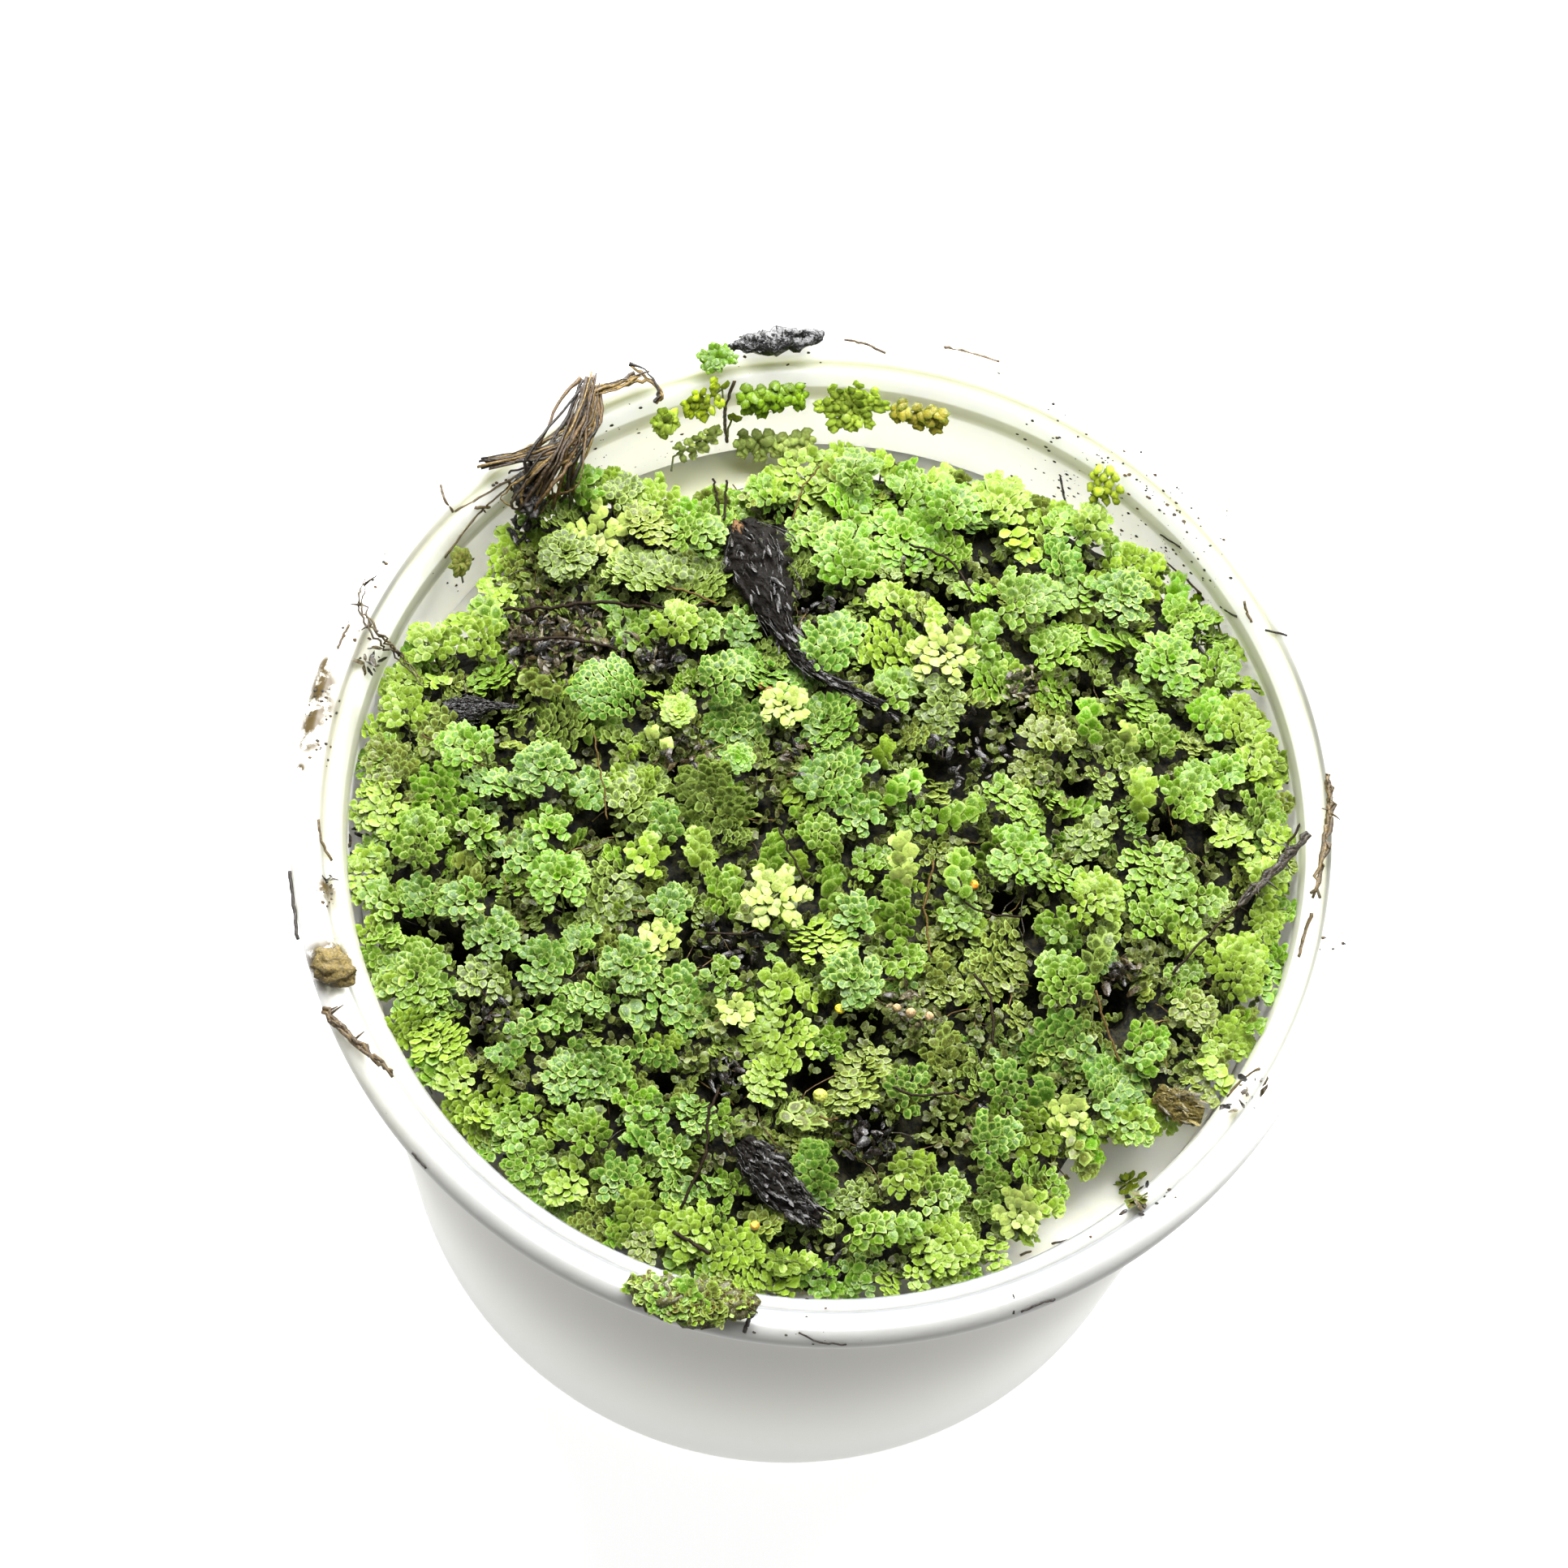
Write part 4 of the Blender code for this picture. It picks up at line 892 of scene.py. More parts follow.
class Look:
    """A material with one Principled shader, its sockets set by name, and the nodes that feed it."""

    def __init__(self, name, **settings):
        self.material = bpy.data.materials.new(name)
        self.material.use_nodes = True
        self.tree = self.material.node_tree
        self.shader = self.tree.nodes["Principled BSDF"]
        for socket, value in settings.items():
            self.set(socket, value)

    def set(self, socket, value):
        self.feed(self.shader.inputs[socket.replace("_", " ")], value)

    def feed(self, socket, value):
        """Links a socket to another one, or sets it to a number or a colour."""
        if isinstance(value, bpy.types.NodeSocket):
            self.tree.links.new(value, socket)
        elif isinstance(value, tuple) and len(value) == 3 and socket.type == "RGBA":
            socket.default_value = (*value, 1.0)
        else:
            socket.default_value = value

    def node(self, kind, *entries, **settings):
        """A new node with its properties set by name and its first inputs fed in order."""
        node = self.tree.nodes.new(f"ShaderNode{kind}")
        for name, value in settings.items():
            setattr(node, name, value)
        for socket, entry in zip(node.inputs, entries):
            self.feed(socket, entry)
        return node

    def position(self):
        return self.node("TexCoord").outputs["Object"]

    def noise(self, scale, detail=3.0, roughness=0.55):
        node = self.node("TexNoise", self.position())
        node.inputs["Scale"].default_value = scale
        node.inputs["Detail"].default_value = detail
        node.inputs["Roughness"].default_value = roughness
        return node.outputs["Fac"]

    def cells(self, scale):
        """Distance to the nearest of many scattered points."""
        node = self.node("TexVoronoi", self.position())
        node.inputs["Scale"].default_value = scale
        return node.outputs["Distance"]

    def ramp(self, value, low, high, to_low, to_high):
        """A smooth step from one number to another between two values."""
        node = self.node("MapRange", value, low, high, to_low, to_high, interpolation_type="SMOOTHSTEP")
        return node.outputs["Result"]

    def mix(self, factor, first, second, blend="MIX"):
        node = self.node("Mix", data_type="RGBA", blend_type=blend)
        self.feed(node.inputs[0], factor)
        self.feed(node.inputs[6], first)
        self.feed(node.inputs[7], second)
        return node.outputs[2]

    def math(self, operation, first, second):
        return self.node("Math", first, second, operation=operation).outputs[0]

    def times(self, first, second):
        return self.math("MULTIPLY", first, second)

    def away_from(self, point):
        node = self.node("VectorMath", self.position(), operation="DISTANCE")
        node.inputs[1].default_value = point
        return node.outputs["Value"]

    def away_from_axis(self):
        flat = self.node("VectorMath", self.position(), (1.0, 1.0, 0.0), operation="MULTIPLY")
        return self.node("VectorMath", flat.outputs[0], operation="LENGTH").outputs["Value"]

    def attribute(self, name, output):
        return self.node("Attribute", attribute_name=name).outputs[output]

    def bump(self, height, strength, distance):
        node = self.node("Bump")
        node.inputs["Strength"].default_value = strength
        node.inputs["Distance"].default_value = distance
        self.feed(node.inputs["Height"], height)
        self.set("Normal", node.outputs["Normal"])


def leaf_material(name, margin_share, margin_colour=PALE_MARGIN):
    """Lobes: mottled green inside, a thin margin, pale papillae that are partly a painted highlight, and wet
    glints.
    """
    look = Look(name, Specular_IOR_Level=0.22, Subsurface_Weight=0.2, Subsurface_Scale=0.0003,
                Subsurface_Radius=(0.7, 1.0, 0.2), Coat_Weight=0.06, Coat_Roughness=0.2)
    mottling = look.ramp(look.noise(2600), 0.3, 0.7, 0.0, 1.0)
    colour = look.mix(1.0, look.attribute("tone", "Color"), look.mix(mottling, *LEAF_MOTTLES), "MULTIPLY")
    edge = look.ramp(look.attribute("margin", "Fac"), 0.45, 0.98, 0.0, margin_share)
    variation = look.ramp(look.noise(300, 2.0), 0.38, 0.62, 0.53, 1.13)
    colour = look.mix(look.times(edge, variation), colour, margin_colour)
    # Pale dots: the papillae's own pale colour, and partly a painted highlight for the small sparkles on the
    # lobes
    papillae = look.cells(5600)
    dots = look.ramp(papillae, 0.12, 0.30, 0.42, 0.0)
    look.set("Base Color", look.mix(dots, colour, PAPILLA_AND_SPARKLE_COLOUR))
    look.set("Roughness", look.ramp(look.noise(1500), 0.40, 0.62, 0.30, 0.62))
    look.bump(papillae, 0.35, 0.00006)
    return look.material


def rim_shade_lines(look, colour, y, radius, high):
    """Painted shade: darker lines along the rim's grooves and the bead's edges, in other shades near, at the
    sides and far.
    """
    side = look.ramp(y, *NEAR_TO_SIDE, 0.0, 1.0)
    far = look.ramp(y, *SIDE_TO_FAR, 0.0, 1.0)
    for line_radius, half_width, near_shade, side_shade, far_shade in RIM_SHADE_LINES:
        off = look.math("ABSOLUTE", look.math("SUBTRACT", radius, line_radius), 0.0)
        line = look.ramp(off, half_width * 0.5, half_width, RIM_SHADE_SHARE, 0.0)
        shade = look.mix(far, look.mix(side, near_shade, side_shade), far_shade)
        colour = look.mix(look.times(line, high), colour, shade)
    return colour


def rim_stains(look, colour, x, high):
    """A grey tint on the left of the rim, and brown blotches at a few places."""
    left = look.times(look.ramp(x, *LEFT_TO_MIDDLE, 1.0, 0.0), high)
    tint = look.times(left, look.ramp(look.noise(90, 5.0), 0.42, 0.60, 0.0, 0.6))
    colour = look.mix(tint, colour, RIM_TINT)
    blotches = look.ramp(look.noise(700, 6.0, 0.65), 0.38, 0.52, 0.0, 0.97)
    for px, py, reach in STAINS:
        away = look.away_from(place(px, py, STAIN_HEIGHT))
        stain = look.ramp(away, reach * 0.4, reach, 1.0, 0.0)
        colour = look.mix(look.times(stain, blotches), colour, STAIN_COLOUR)
    return colour


def cup_material(name):
    """Milky plastic: cream inside, partly painted light; painted shade on the outer wall and in lines along
    the rim's grooves; stains and specks of dirt.
    """
    look = Look(name, Roughness=0.32, Specular_IOR_Level=0.25, Subsurface_Weight=1.0,
                Subsurface_Scale=0.003, Subsurface_Radius=(1.0, 1.0, 0.9))
    x, y, z = look.node("SeparateXYZ", look.position()).outputs
    radius = look.away_from_axis()
    # Cream inside, partly a stained tint and partly painted light through the wall, and at the heel painted
    # light
    inside = look.times(look.ramp(radius, *SEAT_FOOT_BAND, 1.0, 0.0), look.ramp(z, *GEL_EDGE_BAND, 0.0, 1.0))
    heel = look.ramp(z, *HEEL_BAND, 0.5, 0.0)
    high = look.ramp(z, *RIM_BAND, 0.0, 1.0)
    film = look.ramp(look.noise(70, 4.0), 0.42, 0.68, 0.35, 1.0)
    cream = look.times(look.math("MAXIMUM", inside, heel), film)
    outside = look.times(look.ramp(radius, *SEAT_FOOT_BAND, 0.0, 1.0), look.ramp(z, *NECK_BAND, 1.0, 0.0))
    outer = look.math("MAXIMUM", outside, look.ramp(z, *BELOW_GEL_BAND, 1.0, 0.0))
    # Painted shade: the outer wall darkens from its foot up to the rim
    wall = look.mix(look.ramp(z, *WALL_SHADE_BAND, 0.0, 1.0), *WALL_PAINTED_SHADES)
    colour = look.mix(cream, look.mix(outer, RIM_COLOUR, wall), CREAM_COLOUR)
    # Painted shade in lines along the rim's grooves and the bead's edges
    colour = rim_shade_lines(look, colour, y, radius, high)
    colour = rim_stains(look, colour, x, high)
    dust = look.times(look.ramp(look.cells(1500), 0.05, 0.10, 1.0, 0.0), look.math("SUBTRACT", 1.0, outer))
    patches = look.ramp(look.noise(120, 3.0), 0.56, 0.66, 0.0, 0.7)
    look.set("Base Color", look.mix(look.times(dust, patches), colour, DUST_COLOUR))
    return look.material


def gel_material(name):
    """Pale medium with a faint cloud in it, and a yellower film on the open water."""
    look = Look(name, Roughness=0.55, Specular_IOR_Level=0.2, Subsurface_Weight=0.5,
                Subsurface_Scale=0.002, Subsurface_Radius=(1.0, 0.95, 0.6))
    cream = look.mix(look.ramp(look.noise(140, 4.0), 0.35, 0.68, 0.0, 1.0), *GEL_SHADES)
    away = look.away_from(place(*OPEN_WATER, MEDIUM_TOP))
    film = look.ramp(away, OPEN_WATER_RADIUS * 0.8, OPEN_WATER_RADIUS * 1.2, 1.0, 0.0)
    look.set("Base Color", look.mix(film, cream, FILM_COLOUR))
    look.bump(look.noise(300, 3.0), 0.12, 0.0003)
    return look.material


def understory_material(name):
    """Wet dark matter in two shades with lumps of one grain size."""
    look = Look(name, Specular_IOR_Level=0.15)
    share = look.ramp(look.noise(1.0 / UNDERSTORY_GRAIN, 5.0, 0.62), 0.36, 0.66, 0.0, 1.0)
    look.set("Base Color", look.mix(share, *UNDERSTORY_SHADES))
    look.set("Roughness", look.ramp(look.noise(0.6 / UNDERSTORY_GRAIN, 3.0), 0.38, 0.64, 0.6, 0.95))
    look.bump(look.noise(2.2 / UNDERSTORY_GRAIN, 4.0, 0.6), 0.7, 0.0002)
    return look.material


def toned_material(name, roughness, grain, coat, specular=0.4):
    """Twigs, leaves and crumbs: the colour of each vertex with grain and wet spots."""
    look = Look(name, Specular_IOR_Level=specular, Coat_Weight=coat, Coat_Roughness=0.18)
    grit = look.ramp(look.noise(1.0 / grain, 4.0, 0.6), 0.33, 0.68, 0.0, 1.0)
    shade = look.mix(grit, *GRIT_SHADES)
    look.set("Base Color", look.mix(1.0, look.attribute("tone", "Color"), shade, "MULTIPLY"))
    look.set("Roughness", look.ramp(look.noise(0.5 / grain), 0.38, 0.62, roughness * 0.5, roughness))
    look.bump(grit, 0.6, grain * 0.45)
    return look.material


def floor_material(name):
    look = Look(name, Roughness=0.8, Specular_IOR_Level=0.2, Emission_Color=(1.0, 1.0, 1.0),
                Emission_Strength=0.92)
    look.set("Base Color", look.mix(look.ramp(look.noise(30), 0.3, 0.7, 0.0, 1.0), *FLOOR_SHADES))
    return look.material


# Cup and medium

def arc(centre, radius, start, end, steps):
    """Points of an arc in the plane of a turned profile, angles in degrees."""
    points = []
    for i in range(steps + 1):
        angle = math.radians(start + (end - start) * i / steps)
        points.append((centre[0] + radius * math.cos(angle), centre[1] + radius * math.sin(angle)))
    return points


def turned(name, profile, material):
    """A solid of revolution; the profile runs from the axis over the top and down the outside."""
    vertices, triangles = [], []
    rings = profile[1:-1]
    for radius, height in rings:
        for j in range(TURNED_STEPS):
            angle = math.tau * j / TURNED_STEPS
            vertices.append((radius * math.cos(angle), radius * math.sin(angle), height))
    first_hub, last_hub = len(vertices), len(vertices) + 1
    vertices += [(0, 0, profile[0][1]), (0, 0, profile[-1][1])]
    last = (len(rings) - 1) * TURNED_STEPS
    for j in range(TURNED_STEPS):
        k = (j + 1) % TURNED_STEPS
        triangles += [(first_hub, j, k), (last_hub, last + k, last + j)]
        for i in range(len(rings) - 1):
            a, b = i * TURNED_STEPS + j, i * TURNED_STEPS + k
            triangles += [(a, a + TURNED_STEPS, b), (b, a + TURNED_STEPS, b + TURNED_STEPS)]
    return mesh_object(name, vertices, triangles, material)


def make_cup(bead):
    floor = FOOT_RECESS + FLOOR_THICKNESS
    inside_heel = (inner_radius(floor + HEEL_RADIUS) - HEEL_RADIUS, floor + HEEL_RADIUS)
    outside_heel = (BASE_RADIUS - HEEL_RADIUS, HEEL_RADIUS)
    ring_inside = outside_heel[0] - FOOT_RING_WIDTH
    profile = [(0, floor)]
    profile += arc(inside_heel, HEEL_RADIUS, -90, 0, 8)
    profile += [(SEAT_FOOT[0] - 0.00003, SEAT_FOOT[1] - SOFT_EDGE),
                (SEAT_FOOT[0] + 0.00008, SEAT_FOOT[1] + SOFT_EDGE),
                (SEAT_TOP[0] - 0.0001, SEAT_TOP[1] - SOFT_EDGE), (SEAT_TOP[0] + 0.00015, SEAT_TOP[1])]
    profile += arc(bead, BEAD_RADIUS, 165, -75, 28)
    profile += [(NECK_RADIUS + 0.0002, NECK_HEIGHT + 0.0001), (NECK_RADIUS, NECK_HEIGHT - 0.0004)]
    profile += arc(outside_heel, HEEL_RADIUS, 0, -90, 10)
    profile += [(ring_inside, 0), (ring_inside - FOOT_RECESS, FOOT_RECESS), (0, FOOT_RECESS)]
    cup = turned("cup_body", profile, cup_material("milky plastic"))
    finish_piece(cup, ["cup"])


def make_gel():
    """The medium, with its surface drawn up where it meets the wall."""
    floor = FOOT_RECESS + FLOOR_THICKNESS + GAP
    foot_height = floor + HEEL_RADIUS
    foot = inner_radius(foot_height) - GAP
    edge = inner_radius(MEDIUM_TOP) - GAP
    profile = [(0, MEDIUM_TOP - MENISCUS)]
    for i in range(1, GEL_RINGS + 1):
        share = i / GEL_RINGS
        profile.append((edge * share, MEDIUM_TOP - MENISCUS * (1 - share ** 18)))
    profile += [(foot - GAP, foot_height), (foot - HEEL_RADIUS * 1.2, floor), (0, floor)]
    finish_piece(turned("gel", profile, gel_material("culture gel")), ["culture_medium"])


# Plants

def add_scale(batch, base, along, normal, turn, pitch, roll, length, tone, breadth=1.0):
    """One lobe turned sideways from a branch, pitched up and rolled outward."""
    sign = 1.0 if turn >= 0 else -1.0
    side = normal.cross(along)
    flat = along * math.cos(turn) + side * math.sin(turn)
    outward = (side * math.cos(turn) - along * math.sin(turn)) * sign
    way = flat * math.cos(pitch) + normal * math.sin(pitch)
    face = normal * math.cos(pitch) - flat * math.sin(pitch)
    face = (face * math.cos(roll) + outward * math.sin(roll)).normalized()
    width = length * LOBE_WIDTH / LOBE_LENGTH * breadth * rng.uniform(0.82, 1.12)
    curl = rng.uniform(-0.22, 0.08)
    batch.add_lobe(base, way, face, length, width, curl, shaded(tone, rng.uniform(0.84, 1.18)))


class Plant:
    """One plant on a low dome: its middle, the way it points and faces, its lobes and its green."""

    def __init__(self, batch, middle, heading, normal, size, lobe, tone, rise=LOW_DOME, aspect=1.0):
        self.batch = batch
        self.middle = Vector(middle)
        self.normal = Vector(normal).normalized()
        heading = Vector(heading)
        self.along = (heading - self.normal * heading.dot(self.normal)).normalized()
        self.side = self.normal.cross(self.along)
        self.half = size / 2
        self.lobe = lobe
        self.tone = tone
        self.rise = rise
        self.aspect = aspect

    def grow(self, form, age=None):
        """Adds the lobes and stems of a form; age is the share of old, dull lobes near the middle."""
        make_form, usual_age = FORMS[form]
        self.age = usual_age if age is None else age
        make_form(self)

    def point(self, x, y, lift=0.0):
        far = (x / self.half) ** 2 + (y / (self.half * self.aspect)) ** 2
        height = self.rise * (1 - far) + lift
        return self.middle + self.along * x + self.side * y + self.normal * height

    def up(self, x, y):
        slope_x = 2 * self.rise * x / self.half ** 2
        slope_y = 2 * self.rise * y / (self.half * self.aspect) ** 2
        return (self.normal + self.along * slope_x + self.side * slope_y).normalized()

    def way(self, x, y, angle):
        """Direction on the dome at a place, for an angle from the way the plant points."""
        flat = self.along * math.cos(angle) + self.side * math.sin(angle)
        up = self.up(x, y)
        return (flat - up * flat.dot(up)).normalized()

    def reach(self, x, y, angle):
        """Distance from a place to the plant's oval outline."""
        dx, dy = math.cos(angle), math.sin(angle) / self.aspect
        y = y / self.aspect
        lead, gap = dx * dx + dy * dy, x * x + y * y - self.half ** 2
        half_b = x * dx + y * dy
        return (-half_b + math.sqrt(max(half_b ** 2 - lead * gap, 0.0))) / lead

    def branch(self, x, y, angle, length, bend=0.0, lobe=None):
        """A side branch: a thin stem with two rows of overlapping lobes and a bud at its tip."""
        lobe = lobe or self.lobe
        steps = max(1, round(length / (lobe * LOBE_STEP)))
        stem = []
        for k in range(steps + 1):
            share = k / steps
            up, way = self.up(x, y), self.way(x, y, angle)
            stem.append(self.point(x, y))
            fresh = blended(self.tone, OLD_TONE, self.age * (1 - share))
            swelling = 0.78 + 0.34 * math.sin(math.pi * (0.15 + 0.8 * share))
            size = lobe * swelling * rng.uniform(0.86, 1.14)
            turn = math.radians(rng.uniform(34, 60) - 14 * share) * (1 if k % 2 else -1)
            pitch = math.radians(rng.uniform(4, 40) + 8 * share)
            roll = math.radians(rng.uniform(4, 20))
            add_scale(self.batch, stem[-1], way, up, turn, pitch, roll, size, fresh)
            x += math.cos(angle) * length / steps
            y += math.sin(angle) * length / steps
            angle += bend / steps
        tip = stem[-1] + self.way(x, y, angle) * (lobe * 0.10)
        lighter = blended(shaded(self.tone, 1.12), TIP_TONE, 0.16)
        for turn, pitch, share in TIP_LOBES:
            turn = math.radians(turn + rng.uniform(-8, 8))
            add_scale(self.batch, tip, self.way(x, y, angle), self.up(x, y), turn, math.radians(pitch),
                      0.12, lobe * share, lighter)
        if steps > 1:
            low = [point - self.normal * (STEM_RADIUS * 0.8) for point in (stem[0], stem[-1])]
            self.batch.add_shape(tube(low, [STEM_RADIUS, STEM_RADIUS * 0.5], 3),
                                 blended(self.tone, OLD_TONE, 0.6))

    def main_stem(self):
        """The stem under a plant and the stalk that holds it down in the mat."""
        points = [self.point(self.half * share, 0, -STEM_RADIUS) for share in (0.6, 0.2, -0.25, -0.7)]
        foot = self.point(-self.half * 0.75, 0) - Vector((0, 0, self.half * 0.5 + STALK_DEPTH))
        self.batch.add_shape(tube(points + [foot], [STEM_RADIUS] * 5, 3),
                             blended(self.tone, OLD_TONE, 0.75))


def fan_plant(plant):
    """Side branches in turn to the left and right of a bowed axis, spread like a fan."""
    pairs = max(2, round(plant.half * 1.45 / BRANCH_SPACING))
    bow = rng.uniform(-0.14, 0.14) * plant.half
    start, end = -0.80 * plant.half, 0.45 * plant.half
    for i in range(pairs * 2):
        share = (i + 0.5) / (pairs * 2)
        sign = 1 if i % 2 else -1
        x = start + (end - start) * share
        y = bow * math.sin(math.pi * share)
        angle = sign * math.radians(78 - 52 * share + rng.uniform(-7, 7))
        length = plant.reach(x, y, angle) * rng.uniform(0.70, 1.10) - plant.lobe * 0.62
        if length > SHORTEST_BRANCH:
            plant.branch(x, y, angle, length, -sign * 0.35)
    plant.branch(end, 0, rng.uniform(-0.15, 0.15), plant.half * 0.5 - plant.lobe * 0.5)
    plant.main_stem()


def pinnate_plant(plant):
    """A narrow fan."""
    plant.aspect = 0.55
    fan_plant(plant)


def rosette_plant(plant):
    """Branches on all sides of a middle bud, forked where there is room."""
    count = max(5, round(math.tau * plant.half / ROSETTE_SPACING))
    first = rng.uniform(0, math.tau)
    for i in range(count):
        angle = first + math.tau * (i + rng.uniform(-0.16, 0.16)) / count
        x, y = 0.14 * plant.half * math.cos(angle), 0.14 * plant.half * math.sin(angle)
        length = plant.reach(x, y, angle) * rng.uniform(0.84, 1.0) - plant.lobe * 0.6
        plant.branch(x, y, angle, length)
        if plant.half > FORKED_FROM:
            share = rng.uniform(0.35, 0.5)
            fork = (x + math.cos(angle) * length * share, y + math.sin(angle) * length * share)
            turned_angle = angle + rng.choice((-1, 1)) * 0.75
            short = plant.reach(*fork, turned_angle) * 0.8 - plant.lobe * 0.6
            if short > SHORTEST_FORK:
                plant.branch(*fork, turned_angle, short)
    for i in range(5):
        angle = first + math.tau * i / 5
        add_scale(plant.batch, plant.point(0, 0, 0.0001), plant.way(0, 0, angle), plant.normal, 0.0,
                  math.radians(rng.uniform(46, 62)), 0.0, plant.lobe * 0.72, shaded(plant.tone, 1.08))
    plant.main_stem()


def cone_plant(plant):
    """Scales in a sunflower spiral on a dome, upright in the middle and flat outside."""
    count = max(7, round((plant.half / (plant.lobe * 0.52)) ** 2 * math.pi))
    for k in range(count):
        share = math.sqrt((k + 0.5) / count)
        angle = k * GOLDEN_ANGLE
        reach = share * (plant.half - plant.lobe * 0.55)
        x, y = reach * math.cos(angle), reach * plant.aspect * math.sin(angle)
        pitch = math.radians(44 - 30 * share + rng.uniform(-6, 6))
        size = plant.lobe * (0.72 + 0.34 * share)
        way = plant.way(x, y, angle)
        base = plant.point(x, y, -0.0001) - way * (size * 0.45)
        add_scale(plant.batch, base, way, plant.up(x, y), 0.0, pitch, 0.0, size,
                  blended(plant.tone, OLD_TONE, 0.25 * share * rng.random()))
    plant.main_stem()


def scaly_plant(plant):
    """Rows of small scales that all point the same way, like a fir cone lying down."""
    pitch_x, pitch_y = plant.lobe * 0.52, plant.lobe * 0.70
    for i in range(int(plant.half * 2 / pitch_x)):
        x = -plant.half + pitch_x * (i + 0.3)
        reach = plant.half * plant.aspect * math.sqrt(max(0.0, 1 - (x / plant.half) ** 2))
        reach *= rng.uniform(0.80, 1.08)
        count = int(2 * reach / pitch_y)
        for j in range(count + 1):
            y = (j - count / 2 + (0.5 if i % 2 else 0.0)) * pitch_y
            if abs(y) > reach - plant.lobe * 0.2:
                continue
            angle = math.radians(42) * y / max(reach, 0.0005) + rng.uniform(-0.3, 0.3)
            base = plant.point(x + rng.uniform(-0.1, 0.1) * plant.lobe, y, -0.00005)
            pitch = math.radians(rng.uniform(14, 36))
            add_scale(plant.batch, base, plant.way(x, y, angle), plant.up(x, y), 0.0, pitch, 0.0,
                      plant.lobe * rng.uniform(0.82, 1.0), plant.tone, 1.1)
    plant.main_stem()


def spike_plant(plant):
    """One straight branch with large lobes and a few short side branches."""
    big = plant.lobe * 1.6
    plant.branch(-0.85 * plant.half, 0, 0.0, plant.half * 1.75 - big, lobe=big)
    for i in range(4):
        sign = 1 if i % 2 else -1
        plant.branch(plant.half * (-0.55 + 0.28 * i), 0, sign * 0.85, plant.half * 0.30)
    plant.main_stem()


def petals_plant(plant):
    """Five or six short branches with large pale lobes, like the petals of a flower."""
    count = rng.choice((5, 6))
    first = rng.uniform(0, math.tau)
    big = plant.lobe * 1.22
    for i in range(count):
        angle = first + math.tau * (i + rng.uniform(-0.12, 0.12)) / count
        x, y = 0.12 * plant.half * math.cos(angle), 0.12 * plant.half * math.sin(angle)
        length = plant.reach(x, y, angle) * rng.uniform(0.85, 1.0) - big * 0.7
        plant.branch(x, y, angle, length, lobe=big)
    plant.main_stem()


def bud_plant(plant):
    """A closed bud of a few thick lobes."""
    for turn, pitch, share in BUD_LOBES:
        add_scale(plant.batch, plant.point(-plant.half * 0.6, 0), plant.along, plant.normal,
                  math.radians(turn), math.radians(pitch), 0.2, plant.lobe * share, plant.tone)


def comb_plant(plant):
    """Plump branches side by side that hang down from points along the upper edge."""
    across = plant.half * plant.aspect
    count = max(3, round(plant.half * 2 / (plant.lobe * 1.3)))
    for i in range(count):
        x = plant.half * 0.84 * (2 * (i + 0.5) / count - 1)
        y = across * rng.uniform(0.55, 0.8)
        angle = -math.pi / 2 + 0.40 * x / plant.half + rng.uniform(-0.15, 0.15)
        length = across * rng.uniform(1.3, 1.75) - plant.lobe * 0.5
        for turn, share in ((0.0, 1.0), (0.35, 0.6), (-0.35, 0.6)):
            plant.branch(x, y, angle + turn, length * share)


def sprays_plant(plant):
    """Six to eight branches of large, thick lobes that spread from the middle."""
    count = 8 if plant.half > WIDE_SPRAY else 6
    for i in range(count):
        angle = math.tau * (i + rng.uniform(-0.15, 0.15)) / count
        length = plant.reach(0, 0, angle) * rng.uniform(0.8, 1.0) - plant.lobe * 0.6
        bend = rng.uniform(-0.5, 0.5)
        plant.branch(0, 0, angle, length, bend)
        plant.branch(0, 0, angle + 0.3, length * 0.7, bend, plant.lobe * 0.9)


# Forms of a plant: the function that makes it, and its usual share of old lobes
FORMS = {
    "fan": (fan_plant, 0.3), "pinnate": (pinnate_plant, 0.2), "rosette": (rosette_plant, 0.3),
    "cone": (cone_plant, 0.0), "scaly": (scaly_plant, 0.0), "spike": (spike_plant, 0.2),
    "petals": (petals_plant, 0.1), "bud": (bud_plant, 0.0), "comb": (comb_plant, 0.2),
    "sprays": (sprays_plant, 0.1),
}


def lobe_for(size):
    """Lobe length for a plant of a size: smaller plants have slightly smaller lobes."""
    return LOBE_LENGTH * (0.82 + 0.16 * min(size / 0.0055, 1.3))


def make_single_fronds(materials):
    for index, (form, heading, green) in enumerate(FRONDS, start=1):
        name = f"frond_{index:02d}"
        low, high = (Vector(corner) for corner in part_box(name))
        size = max(high.x - low.x, high.y - low.y) * 1.04
        middle = (low + high) / 2
        middle.z = low.z + (high.z - low.z) * 0.42
        batch = Batch()
        Plant(batch, middle, way_of(heading), mound_normal(middle.x, middle.y), size, lobe_for(size),
              TONES[green], (high.z - low.z) * 0.34).grow(form)
        slot = f"{OTHER_SLOTS.get(index, green)}_frond"
        batch_piece(f"leafy_{name}", batch, materials[slot], [name])


